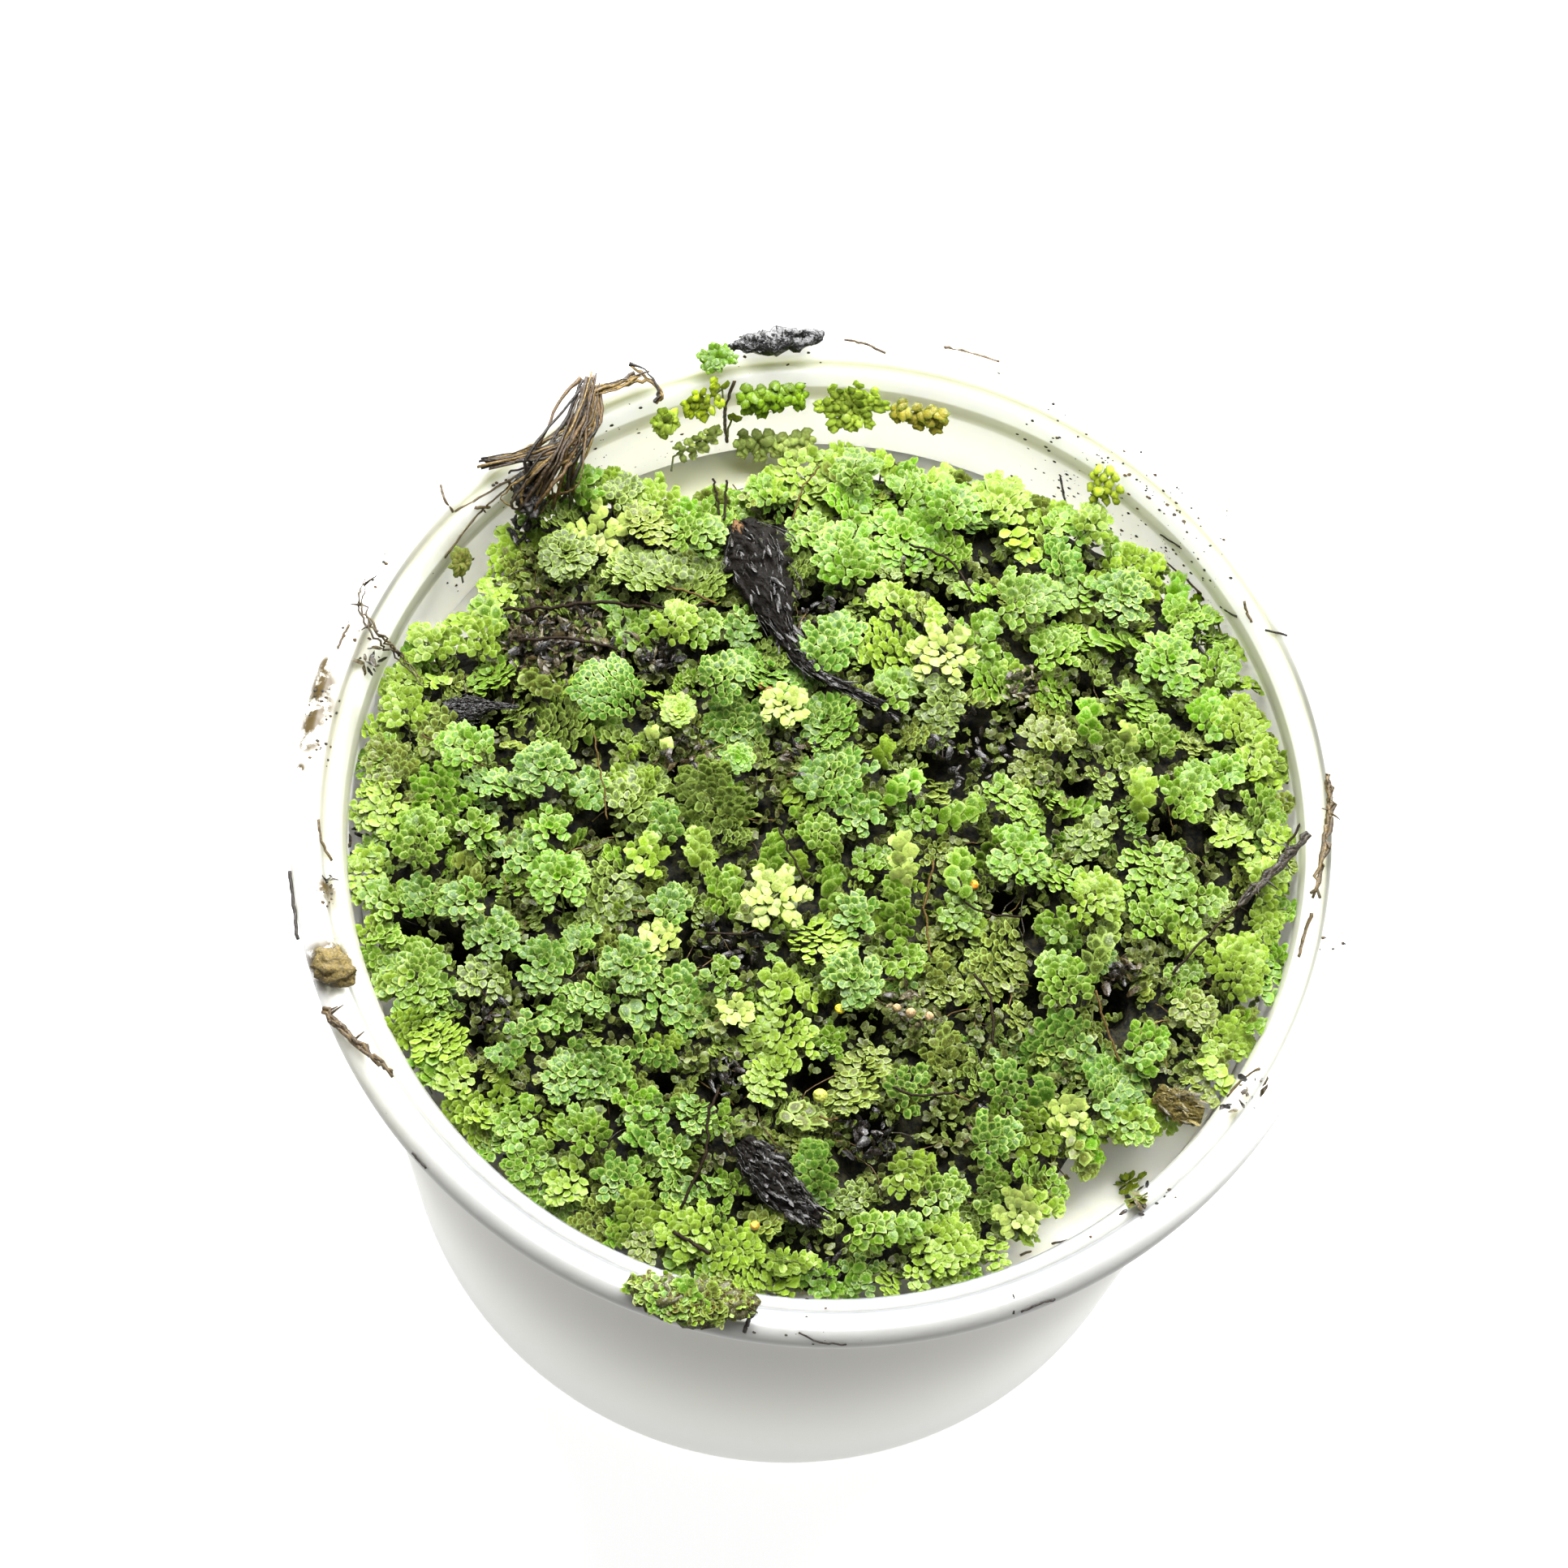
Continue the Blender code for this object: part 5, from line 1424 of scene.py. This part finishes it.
def make_wall_fronds(material):
    """Fronds that lean out from the inner wall, where their solids are."""
    rise, reach = math.sin(WALL_FROND_LEAN), math.cos(WALL_FROND_LEAN)
    for index, (size, form, aspect, heading, green, slot) in enumerate(WALL_FRONDS, start=1):
        name = f"wall_frond_{index}"
        low, high = (Vector(corner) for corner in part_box(name))
        middle = (low + high) / 2
        outward = Vector((middle.x, middle.y, 0)).normalized()
        normal = Vector((0, 0, reach)) - outward * rise
        slope = outward * reach + Vector((0, 0, rise))
        across = slope.cross(normal)
        angle = math.radians(heading)
        way = across * math.cos(angle) + slope * math.sin(angle)
        batch = Batch(WALL_PLUMPNESS)
        plant = Plant(batch, middle, way, normal, size * PIXEL, WALL_LOBE, TONES[green], aspect=aspect)
        plant.grow(form, WALL_AGE)
        batch_piece(f"leafy_{name}", batch, material, [name])


def make_rim_frond(material):
    form, size, green = RIM_FROND
    low, high = (Vector(corner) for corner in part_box("rim_frond"))
    batch = Batch(WALL_PLUMPNESS)
    Plant(batch, (low + high) / 2, way_of(0), ABOVE, size * PIXEL, WALL_LOBE, TONES[green],
          aspect=0.75).grow(form)
    batch_piece("leafy_rim_frond", batch, material, ["rim_frond"])


def make_sprigs(material, bead):
    batch = Batch()
    for px, py, pixels, form, heading, green in SPRIGS:
        point = place_on_cup(px, py, bead)
        inward = -Vector((point.x, point.y, 0)).normalized()
        Plant(batch, point + inward * 0.0006, way_of(heading), inward + ABOVE * 0.9, pixels * PIXEL,
              WALL_LOBE * 0.9, TONES[green], aspect=0.8).grow(form)
    batch_piece("sprigs", batch, material, [])


# The mat

def nearest_green(point, spots):
    """The green of the nearest row of the map, now and then another one."""
    if rng.random() < ODD_GREENS:
        return rng.choice(ANY_GREEN)
    return min(spots, key=lambda row: (row[0] - point[0]) ** 2 + (row[1] - point[1]) ** 2)[2]


def fill_places(radius_at, taken, holes, radii, tries, packing):
    """Random places between those taken, the widest first: x, y and radius."""
    places = list(taken)
    for radius in radii:
        for _ in range(tries):
            away = MAT_MAX_RADIUS * math.sqrt(rng.random())
            angle = rng.uniform(0, math.tau)
            x, y = away * math.cos(angle), away * math.sin(angle)
            if radius_at(angle) - away < radius * 0.62:
                continue
            if any(math.hypot(x - h[0], y - h[1]) < h[2] + radius * 0.62 for h in holes):
                continue
            rows = np.array(places)
            room = np.hypot(rows[:, 0] - x, rows[:, 1] - y) - rows[:, 2]
            if room.min() >= radius * packing:
                places.append((x, y, radius))
    return places[len(taken):]


def add_plant(sectors, x, y, size, form, heading, green, lift, lean, fineness=1.0):
    """A plant on the mound, in the batch of its sector, with painted light that makes it a little brighter
    toward the far wall.
    """
    normal = tilted(mound_normal(x, y), lean)
    gain = 1 + FAR_PAINTED_LIGHT * max(0.0, y) / MOUND_REACH
    tone = shaded(TONES[green], rng.uniform(0.85, 1.15) * gain)
    turn = (math.atan2(y, x) % math.tau) / math.tau
    batch = sectors[int(turn * CARPET_SECTORS) % CARPET_SECTORS]
    Plant(batch, (x, y, mound_height(x, y) + lift), way_of(heading), normal, size,
          lobe_for(size) * fineness, tone, size * 0.09).grow(form)


def places_of_pieces():
    """Places that the single fronds and the pressed leaves keep free of other plants."""
    taken = []
    for index in range(len(FRONDS)):
        low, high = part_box(f"frond_{index + 1:02d}")
        taken.append(((low[0] + high[0]) / 2, (low[1] + high[1]) / 2, (high[0] - low[0]) * 0.46))
    for _, route, *_ in LEAVES:
        for px, py, half_width in route:
            taken.append((*place_on_mound(px, py).xy, half_width + 0.0006))
    return taken


def add_large_plants(sectors):
    """The plants that stand out in the photograph; gives back their places."""
    taken = []
    for px, py, pixels, form, heading, green in PLANTS:
        size = pixels * PIXEL
        spot = place_on_mound(px, py, 0.0008)
        share = min(1.0, (MAT_MAX_RADIUS - size * 0.45) / math.hypot(spot.x, spot.y))
        x, y = spot.x * share, spot.y * share
        taken.append((x, y, size * 0.44))
        add_plant(sectors, x, y, size, form, heading, green, 0.0004, 14)
    return taken


def add_plants_between(sectors, radius_at, taken, holes):
    greens = [(*place_on_mound(px, py).xy, green) for px, py, green in GREEN_MAP]
    places = fill_places(radius_at, taken, holes, FILL_RADII, FILL_TRIES, FILL_PACKING)
    for x, y, radius in places:
        green = nearest_green((x, y), greens)
        form = rng.choice(("fan", "fan", "fan", "pinnate", "rosette", "spike"))
        if green == "pale":
            form = "petals"
        lift = rng.uniform(-0.0008, 0.0006)
        add_plant(sectors, x, y, radius * 2.4, form, rng.uniform(0, 360), green, lift, 34)


def add_low_plants(sectors, radius_at, holes):
    """A second, lower layer that shows in the gaps of the first."""
    nothing = [(0.0, 0.0, -1.0)]
    for x, y, radius in fill_places(radius_at, nothing, holes, LOW_RADII, LOW_TRIES, LOW_PACKING):
        green = rng.choice(LOW_GREENS)
        form = rng.choice(("fan", "rosette", "spike", "pinnate"))
        add_plant(sectors, x, y, radius * 2.2, form, rng.uniform(0, 360), green,
                  rng.uniform(-0.0014, -0.0004), 45, 0.8)


def add_edge_plants(sectors, radius_at):
    """Small plants side by side along the mat's edge."""
    count = round(math.tau * MAT_MAX_RADIUS / EDGE_SPACING)
    for i in range(count):
        angle = math.tau * (i + rng.uniform(-0.3, 0.3)) / count
        away = radius_at(angle) - 0.0006 * max(0.0, math.sin(angle)) - rng.uniform(0.0002, 0.0015)
        heading = math.degrees(angle) + rng.uniform(-40, 40)
        form = rng.choice(("fan", "fan", "pinnate", "spike"))
        add_plant(sectors, away * math.cos(angle), away * math.sin(angle), rng.uniform(0.0034, 0.0050),
                  form, heading, rng.choice(EDGE_GREENS), rng.uniform(-0.0008, 0.0003), 40, 0.9)


def make_carpet(radius_at, material, holes, patches):
    """Every other plant of the mat, in one piece for each sector of the cup."""
    sectors = [Batch() for _ in range(CARPET_SECTORS)]
    taken = places_of_pieces() + add_large_plants(sectors)
    add_plants_between(sectors, radius_at, taken, holes + patches)
    add_low_plants(sectors, radius_at, holes)
    add_edge_plants(sectors, radius_at)
    for index, batch in enumerate(sectors, start=1):
        batch_piece(f"carpet_{index}", batch, material, ["fern_mat"])


def understory_height(x, y, share, holes):
    """Height of the dark bed at a share of the way from the middle to the mat's edge."""
    relief = 0.0007 * noise.fractal(Vector((x, y, 0.0)) / 0.0016, 1.0, 2.0, 4)
    sink = 0.0
    for hx, hy, hole in holes:
        near = 1 - math.hypot(x - hx, y - hy) / (hole * 1.25)
        if near > 0:
            sink = max(sink, HOLE_DEPTH * min(1.0, near * 1.8))
    drop = 0.0018 * max(0.0, (share - 0.93) / 0.07)
    return mound_height(x, y) - UNDERSTORY_DEPTH + relief - sink - drop


def make_understory(radius_at, holes):
    """The dark, wet bed of old roots and stems under the plants, with the holes in it."""
    rings, segments = UNDERSTORY_MESH
    vertices = []
    for i in range(rings):
        share = ((i + 1) / rings) ** 0.8
        for j in range(segments):
            angle = math.tau * j / segments
            inset = 0.0016 - 0.0011 * max(0.0, math.sin(angle))
            radius = (radius_at(angle) - inset) * share
            x, y = radius * math.cos(angle), radius * math.sin(angle)
            vertices.append((x, y, understory_height(x, y, share, holes)))
    bottom = MEDIUM_TOP + GAP
    last = (rings - 1) * segments
    for x, y, _ in vertices[last:]:
        vertices.append((x * 0.985, y * 0.985, bottom))
    top_hub, bottom_hub = len(vertices), len(vertices) + 1
    vertices += [(0, 0, mound_height(0, 0) - UNDERSTORY_DEPTH), (0, 0, bottom)]
    triangles = []
    for j in range(segments):
        k = (j + 1) % segments
        triangles += [(top_hub, j, k), (bottom_hub, last + segments + k, last + segments + j)]
        for i in range(rings):
            a, b = i * segments + j, i * segments + k
            triangles += [(a, a + segments, b), (b, a + segments, b + segments)]
    bed = mesh_object("understory", vertices, triangles, understory_material("wet understory"))
    finish_piece(bed, ["fern_mat"])


def litter_spots(radius_at, patches):
    """Places of old lobes all over the mat and more in the dead patches: x, y and lift."""
    spots = []
    for _ in range(LITTER_COUNT):
        angle = rng.uniform(0, math.tau)
        away = (radius_at(angle) - LITTER_INSET) * math.sqrt(rng.random())
        spots.append((away * math.cos(angle), away * math.sin(angle), rng.uniform(-0.0019, -0.0003)))
    for x, y, radius in patches:
        for _ in range(int(radius * LITTER_PER_METRE)):
            px, py = scattered(x, y, radius * 1.1)
            if math.hypot(px, py) < radius_at(math.atan2(py, px)) - LITTER_INSET:
                spots.append((px, py, rng.uniform(-0.0012, 0.0003)))
    return spots


def add_old_thread(batch, start):
    turn = rng.uniform(0, math.tau)
    reach = rng.uniform(0.0010, 0.0028)
    points = []
    for _ in range(6):
        turn += rng.uniform(-0.5, 0.5)
        points.append(start.copy())
        start += Vector((math.cos(turn), math.sin(turn), rng.uniform(-0.25, 0.2))) * reach / 3
    batch.add_shape(tube(points, [0.00006] * 6, 3), rng.choice(OLD_THREAD_TONES))


def make_litter(radius_at, patches, material):
    """Old lobes and root threads that lie between and under the plants."""
    batch = Batch()
    spots = litter_spots(radius_at, patches)
    for x, y, lift in spots:
        tone = rng.choice(LITTER_TONES)
        heading = rng.uniform(0, 360)
        for turn in (-70, 0, 60):
            base = Vector((x, y, mound_height(x, y) + lift + rng.uniform(-0.0002, 0.0002)))
            way, normal = loose_axes(62, heading + turn)
            length = LOBE_LENGTH * rng.uniform(0.6, 1.05)
            batch.add_lobe(base, way, normal, length, length * 0.8, rng.uniform(-0.5, 0.3),
                           shaded(tone, rng.uniform(0.7, 1.3)))
    for x, y, lift in rng.sample(spots, OLD_THREADS):
        add_old_thread(batch, Vector((x, y, mound_height(x, y) + lift)))
    batch_piece("litter", batch, material, ["fern_mat"])


# Dead leaves

def across_route(route, i):
    """A route's point, half width and sideways direction at one of its rows."""
    ahead = Vector(route[min(i + 1, len(route) - 1)][:3]) - Vector(route[max(i - 1, 0)][:3])
    return Vector(route[i][:3]), float(route[i][3]), ahead.cross(ABOVE).normalized()


def dome_height(half_width, share):
    return half_width * LEAF_FLATNESS * math.sqrt(max(0.0, 1 - share ** 2))


def leaf_blade(route, relief, ragged):
    """A closed, wrinkled blade along a route of points with half widths."""
    rows, across = len(route), BLADE_COLUMNS
    vertices, triangles = [], []
    for layer in (1, -1):
        for i in range(rows):
            point, half_width, side = across_route(route, i)
            for j in range(across):
                share = 2 * j / (across - 1) - 1
                torn = 1 + ragged * noise.noise(Vector((i * 0.35, share * 2.0, 3.0)))
                height = dome_height(half_width, share) * layer
                if layer > 0:
                    ridges = abs(noise.fractal(Vector((share * 5.0, i * 0.16, 7.0)), 0.8, 2.1, 4))
                    height += relief * (0.5 - ridges) * (1 - share ** 2)
                vertices.append(point + side * (share * half_width * torn) + Vector((0, 0, height)))
    under = rows * across
    for i in range(rows - 1):
        for j in range(across - 1):
            a, c = i * across + j, (i + 1) * across + j
            b, d = a + 1, c + 1
            triangles += [(a, b, c), (b, d, c)]
            triangles += [(under + a, under + c, under + b), (under + b, under + c, under + d)]
    rim = [i * across for i in range(rows)] + [(rows - 1) * across + j for j in range(1, across)]
    rim += [i * across + across - 1 for i in range(rows - 2, -1, -1)] + list(range(across - 2, 0, -1))
    for a, b in zip(rim, rim[1:] + rim[:1]):
        triangles += [(a, b, under + a), (b, under + b, under + a)]
    return vertices, triangles


def add_fibres(batch, route, count, tone):
    """Thin wet fibres that run along a blade."""
    rows = len(route)
    for _ in range(count):
        first = rng.randrange(rows - 6)
        share = rng.uniform(-1.0, 1.0)
        drift = rng.uniform(-0.06, 0.06)
        points = []
        for i in range(first, min(rows, first + rng.randrange(6, 18))):
            point, half_width, side = across_route(route, i)
            share += drift + rng.uniform(-0.05, 0.05)
            lift = Vector((0, 0, dome_height(half_width, share) + rng.uniform(0.0, 0.0003)))
            points.append(point + side * (share * half_width) + lift)
        radius = rng.uniform(0.00003, 0.00007)
        batch.add_shape(tube(points, [radius] * len(points), 4), shaded(tone, rng.uniform(0.6, 2.5)))


def add_flakes(batch, route, count, tone):
    """Narrow wet flakes that lie along a blade and stand up a little."""
    for _ in range(count):
        i = rng.randrange(len(route) - 2)
        point, half_width = Vector(route[i][:3]), float(route[i][3])
        ahead = (Vector(route[i + 1][:3]) - point).normalized()
        side = ahead.cross(ABOVE).normalized()
        share = rng.uniform(-0.95, 0.95)
        base = point + side * (share * half_width) + ABOVE * (dome_height(half_width, share) + 0.0001)
        turn = rng.uniform(-0.5, 0.5)
        along = ahead * math.cos(turn) + side * math.sin(turn)
        normal = tilted(ABOVE, 50)
        way = (along - normal * along.dot(normal)).normalized()
        batch.add_lobe(base, way, normal, rng.uniform(0.0006, 0.0018), rng.uniform(0.00018, 0.00045),
                       rng.uniform(-0.2, 0.2), shaded(tone, rng.uniform(0.5, 2.0)))


def make_dead_leaves(materials):
    for name, rows, tone, slot, fibre_count, flake_count in LEAVES:
        lifted = [(*place_on_mound(px, py, GAP + half_width * LEAF_FLATNESS), half_width)
                  for px, py, half_width in rows]
        route = smooth_route(lifted, 14)
        blade = Batch()
        blade.add_shape(leaf_blade(route, 0.0009, 0.5), tone)
        if name == "dead_leaf":
            spot = place_on_mound(*TAN_SPOT, 0.0010)
            blade.add_shape(ball(spot, (0.0007, 0.0010, 0.0005), 12, 16, 0.0003, 0.0005), TAN_TONE)
        batch_piece(f"{name}_blade", blade, materials["black"], [name])
        fibres = Batch()
        add_fibres(fibres, route, fibre_count, tone)
        add_flakes(fibres, route, flake_count, tone)
        batch_piece(f"{name}_fibres", fibres, materials["wet shine"], [])


def wet_bit_spots(bead):
    """Places and shades of crumpled bits in the bare patches and on the cup."""
    spots = []
    for px, py, spread, count, tones in WET_BITS:
        for _ in range(count):
            spot = place_on_mound(*scattered(px, py, spread), rng.uniform(-0.0008, 0.0006))
            if math.hypot(spot.x, spot.y) < MAT_MAX_RADIUS:
                spots.append((spot, rng.choice(tones)))
    for px, py, spread, count in CUP_BITS:
        for _ in range(count):
            spot = place_on_cup(*scattered(px, py, spread), bead) + ABOVE * 0.0002
            spots.append((spot, rng.choice(BROWN_BITS)))
    return spots


def make_wet_bits(materials, bead):
    """Crumpled dead leaves in the bare patches and on the cup, and one flat black sheath."""
    batch = Batch(CRUMPLED_PLUMPNESS)
    for spot, tone in wet_bit_spots(bead):
        way, normal = loose_axes(68)
        length = LOBE_LENGTH * rng.uniform(0.5, 1.6)
        batch.add_lobe(spot, way, normal, length, length * rng.uniform(0.25, 0.7),
                       rng.uniform(-0.6, 0.4), shaded(tone, rng.uniform(0.5, 1.2)))
    rows = [(*place_on_mound(px, py, -0.0001), half_width) for px, py, half_width in BLACK_SHEATH]
    route = smooth_route(rows, 10)
    batch.add_shape(leaf_blade(route, 0.0003, 0.4), shaded(BLACK_BITS[0], 0.5))
    add_fibres(batch, route, SHEATH_FIBRES, BLACK_BITS[0])
    batch_piece("wet_bits", batch, materials["wet shine"], [])


# Roots, twigs and lumps

def make_roots(materials):
    """A tuft of brown root fibres lying over the rim, and the dark clump at its foot."""
    batch = Batch()
    for index, (count, rows) in enumerate(ROOT_STRANDS):
        route = [(*place(px, py, height), half_width) for px, py, height, half_width in rows]
        for k in range(count):
            shift = [rng.uniform(-1, 1), rng.uniform(-1, 1), rng.uniform(-0.4, 0.9)]
            moved = []
            for x, y, z, half_width in route:
                spread = half_width * rng.uniform(0.5, 2.6)
                moved.append((x + shift[0] * spread, y + shift[1] * spread,
                              max(z + shift[2] * half_width, ROOT_FLOOR), rng.uniform(0.00005, 0.00019)))
            moved[-1] = tuple(a + (b - a) * rng.uniform(0.6, 1.15) for a, b in zip(moved[-2], moved[-1]))
            tone = rng.choice(ROOT_TONES)
            batch.add_shape(strand(moved, 5, 5, 0.00022, index * 50.0 + k), tone)
    for px, py, radius in ROOT_CLUMP:
        spot = place(px, py, ROOT_CLUMP_HEIGHT)
        radii = (radius, radius * 1.3, radius * 0.8)
        batch.add_shape(ball(spot, radii, 20, 28, 0.0006, 0.0003), ROOT_CLUMP_TONE)
    batch_piece("root_fibres", batch, materials["wet"], ["root_bundle"])


def make_twigs(materials):
    """Each twig as three strands side by side with a few short splinters."""
    for name, (slot, tone, apart, thick, rows) in TWIGS.items():
        route = [(*place(px, py, height), half_width) for px, py, height, half_width in rows]
        batch = Batch()
        for k in range(3):
            turn = math.tau * k / 3
            side_route = [(x + math.cos(turn) * half_width * apart, y + math.sin(turn) * half_width * apart,
                           z, half_width * thick) for x, y, z, half_width in route]
            batch.add_shape(strand(side_route, 8, 7, 0.0005, len(name) + k * 7.0),
                            shaded(tone, rng.uniform(0.7, 1.5)))
        for _ in range(5):
            index = rng.randrange(len(route) - 1)
            start = Vector(route[index][:3]).lerp(Vector(route[index + 1][:3]), rng.random())
            end = start + Vector((rng.uniform(-1, 1), rng.uniform(-1, 1), 0.25)) * 0.0011
            batch.add_shape(tube([start, (start + end) / 2 + ABOVE * 0.0001, end],
                                 [0.00012, 0.00009, 0.00004], 6), shaded(tone, 0.8))
        batch_piece(f"{name}_bark", batch, materials["wet"], [name])


def make_lumps(materials, bead):
    """The bark chip, the crumb of soil and the clump of moss on the rim."""
    top = bead[1] + BEAD_RADIUS
    for name, (slot, tone, finish, rows) in LUMPS.items():
        lifted = [(*place(px, py, top + GAP + half_width * LUMP_FLATNESS), half_width)
                  for px, py, half_width in rows]
        route = smooth_route(lifted, 4)
        batch = Batch()
        for *middle, half_width in route:
            radii = (half_width * 1.25, half_width * 0.9, half_width * LUMP_FLATNESS)
            batch.add_shape(ball(Vector(middle), radii, 12, 18, half_width * 0.5, 0.0006), tone)
        if name == "moss_clump":
            add_moss(batch, route)
        batch_piece(f"{name}_lump", batch, materials[finish], [name])


def add_moss(batch, route):
    """Small plants at the clump's left, old lobes all over it, and short sticks at its right."""
    for x, y, z, half_width in route[:MOSS_PLANTS]:
        heading = way_of(rng.uniform(180, 300))
        normal = tilted(Vector((0, -0.3, 1)), 30)
        Plant(batch, (x, y, z + half_width * 0.35), heading, normal, half_width * 2.1, LOBE_LENGTH,
              TONES[rng.choice(("fresh", "yellow", "bright", "olive"))], aspect=0.8).grow("fan")
    for _ in range(MOSS_LOBES):
        x, y, z, half_width = route[rng.randrange(len(route))]
        turn, share = rng.uniform(0, math.tau), rng.uniform(0.1, 1.0)
        height = half_width * LUMP_FLATNESS * math.sqrt(max(0.0, 1.1 - share ** 2))
        base = Vector((x + math.cos(turn) * half_width * share,
                       y + math.sin(turn) * half_width * share, z + height))
        way, normal = loose_axes(55)
        tone = TONES[rng.choice(("olive", "yellow", "brown", "brown"))]
        length = LOBE_LENGTH * rng.uniform(0.5, 0.9)
        batch.add_lobe(base, way, normal, length, length * 0.8, -0.1, tone)
    for _ in range(MOSS_STICKS):
        x, y, z, half_width = route[rng.randrange(len(route) // 3, len(route))]
        start = Vector((x, y, z + half_width * 0.5))
        way = way_of(rng.uniform(0, 360)) * rng.uniform(0.0006, 0.0016)
        batch.add_shape(tube([start - way, start + ABOVE * 0.0003, start + way],
                             [0.00006, 0.00011, 0.00006], 5), MOSS_STICK_TONE)


# Small things

def make_sticks(materials, bead):
    """Thin sticks on the cup and threads on the fern."""
    on_cup, on_mat = Batch(), Batch()
    for index, (pixels, half_width, shade) in enumerate(STICKS):
        spots = [place_on_cup(px, py, bead) for px, py in pixels]
        route = [(spot.x, spot.y, spot.z + half_width * 0.8, half_width) for spot in spots]
        on_cup.add_shape(strand(route, 6, 6, 0.00012, index * 3.0), STICK_TONES[shade])
    for index, (pixels, half_width, shade) in enumerate(MAT_THREADS):
        route = [(*place_on_mound(px, py, 0.0014), half_width * 0.75) for px, py in pixels]
        on_mat.add_shape(strand(route, 6, 6, 0.00025, 100 + index * 3.0), STICK_TONES[shade])
    batch_piece("sticks", on_cup, materials["wet"], [])
    batch_piece("threads", on_mat, materials["black"], [])


def make_beads(materials, bead):
    batch = Batch()
    for px, py, radius, colour in BEADS:
        spot = place_on_mound(px, py, 0.0012)
        if math.hypot(spot.x, spot.y) > MAT_MAX_RADIUS:
            spot = place(px, py, bead[1] + BEAD_RADIUS + radius)
        batch.add_shape(ball(spot, (radius, radius, radius), 10, 14, radius * 0.15, 0.0004), colour)
    batch_piece("beads", batch, materials["wet"], [])


def make_crumbs(materials, bead):
    """Specks of soil on the rim, the ledge and the far wall."""
    batch = Batch()
    for px, py, spread, count in CRUMBS:
        for _ in range(count):
            spot = place_on_cup(*scattered(px, py, spread), bead)
            is_on_gel = spot.z <= MEDIUM_TOP + 0.001
            if is_on_gel or math.hypot(spot.x, spot.y) > bead[0] + BEAD_RADIUS * 0.9:
                continue
            radius = 0.00005 + 0.00012 * rng.random() ** 2
            tone = rng.choice(CRUMB_TONES)
            radii = (radius * 1.3, radius, radius * 0.7)
            batch.add_shape(ball(spot, radii, 4, 6, radius * 0.4, 0.0002), tone)
    batch_piece("crumbs", batch, materials["dry"], [])


# Stage

def make_floor():
    bpy.ops.mesh.primitive_plane_add(size=3.0)
    floor = bpy.context.object
    floor.name = "floor"
    floor.data.materials.append(floor_material("pale floor"))


def make_lights():
    world = bpy.data.worlds.new("studio")
    bpy.context.scene.world = world
    world.use_nodes = True
    world.node_tree.nodes["Background"].inputs["Color"].default_value = (1.0, 1.0, 1.0, 1.0)
    world.node_tree.nodes["Background"].inputs["Strength"].default_value = WORLD_STRENGTH
    for name, place_at, size, power in LIGHTS:
        light = bpy.data.lights.new(name, "AREA")
        light.shape = "DISK"
        light.size = size
        light.energy = power
        obj = bpy.data.objects.new(name, light)
        obj.location = place_at
        obj.rotation_euler = (LIT_POINT - Vector(place_at)).to_track_quat("-Z", "Y").to_euler()
        bpy.context.scene.collection.objects.link(obj)


def make_camera():
    camera = bpy.data.cameras.new("camera")
    camera.sensor_width = SENSOR
    camera.lens = VIEW_FOCAL / VIEW_FRAME * SENSOR
    camera.clip_start = 0.01
    obj = bpy.data.objects.new("camera", camera)
    rotation = Matrix((RIGHT, UPWARD, BACK)).transposed()
    obj.matrix_world = Matrix.Translation(EYE) @ rotation.to_4x4()
    bpy.context.scene.collection.objects.link(obj)
    bpy.context.scene.camera = obj


def make_materials():
    """The materials of the plants and of the dead matter, by name."""
    materials = {name: toned_material(*settings) for name, settings in TONED.items()}
    for green, share in MARGIN_SHARES.items():
        materials[f"{green}_frond"] = leaf_material(f"{green} frond", share)
    materials["fern"] = leaf_material("fern mat", 0.58)
    materials["old fern"] = leaf_material("old fern", 0.25)
    # Fronds on the wall and rim, and the sprigs: dark margins that paint the shade between their lobes
    materials["lit frond"] = leaf_material("lit frond", 0.60, GAP_SHADE_MARGIN)
    return materials


def make_fern(materials, bead):
    """The mat with its plants, and those on the cup."""
    holes = [(*place_on_mound(px, py).xy, pixels * PIXEL) for px, py, pixels in HOLES]
    patches = [(*place_on_mound(px, py).xy, pixels * PIXEL) for px, py, pixels in DEAD_PATCHES]
    radius_at = edge_radius_function()
    make_understory(radius_at, holes)
    make_single_fronds(materials)
    make_wall_fronds(materials["lit frond"])
    make_rim_frond(materials["lit frond"])
    make_sprigs(materials["lit frond"], bead)
    make_carpet(radius_at, materials["fern"], holes, patches)
    make_litter(radius_at, patches, materials["old fern"])


def main():
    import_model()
    rim_radius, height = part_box("cup")[1][0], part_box("cup")[1][2]
    bead = (rim_radius - BEAD_RADIUS, height - BEAD_RADIUS)
    materials = make_materials()
    make_cup(bead)
    make_gel()
    make_fern(materials, bead)
    make_dead_leaves(materials)
    make_wet_bits(materials, bead)
    make_roots(materials)
    make_twigs(materials)
    make_lumps(materials, bead)
    make_sticks(materials, bead)
    make_beads(materials, bead)
    make_crumbs(materials, bead)
    make_floor()
    make_lights()
    make_camera()
    bpy.context.scene.view_settings.view_transform = "Standard"


main()
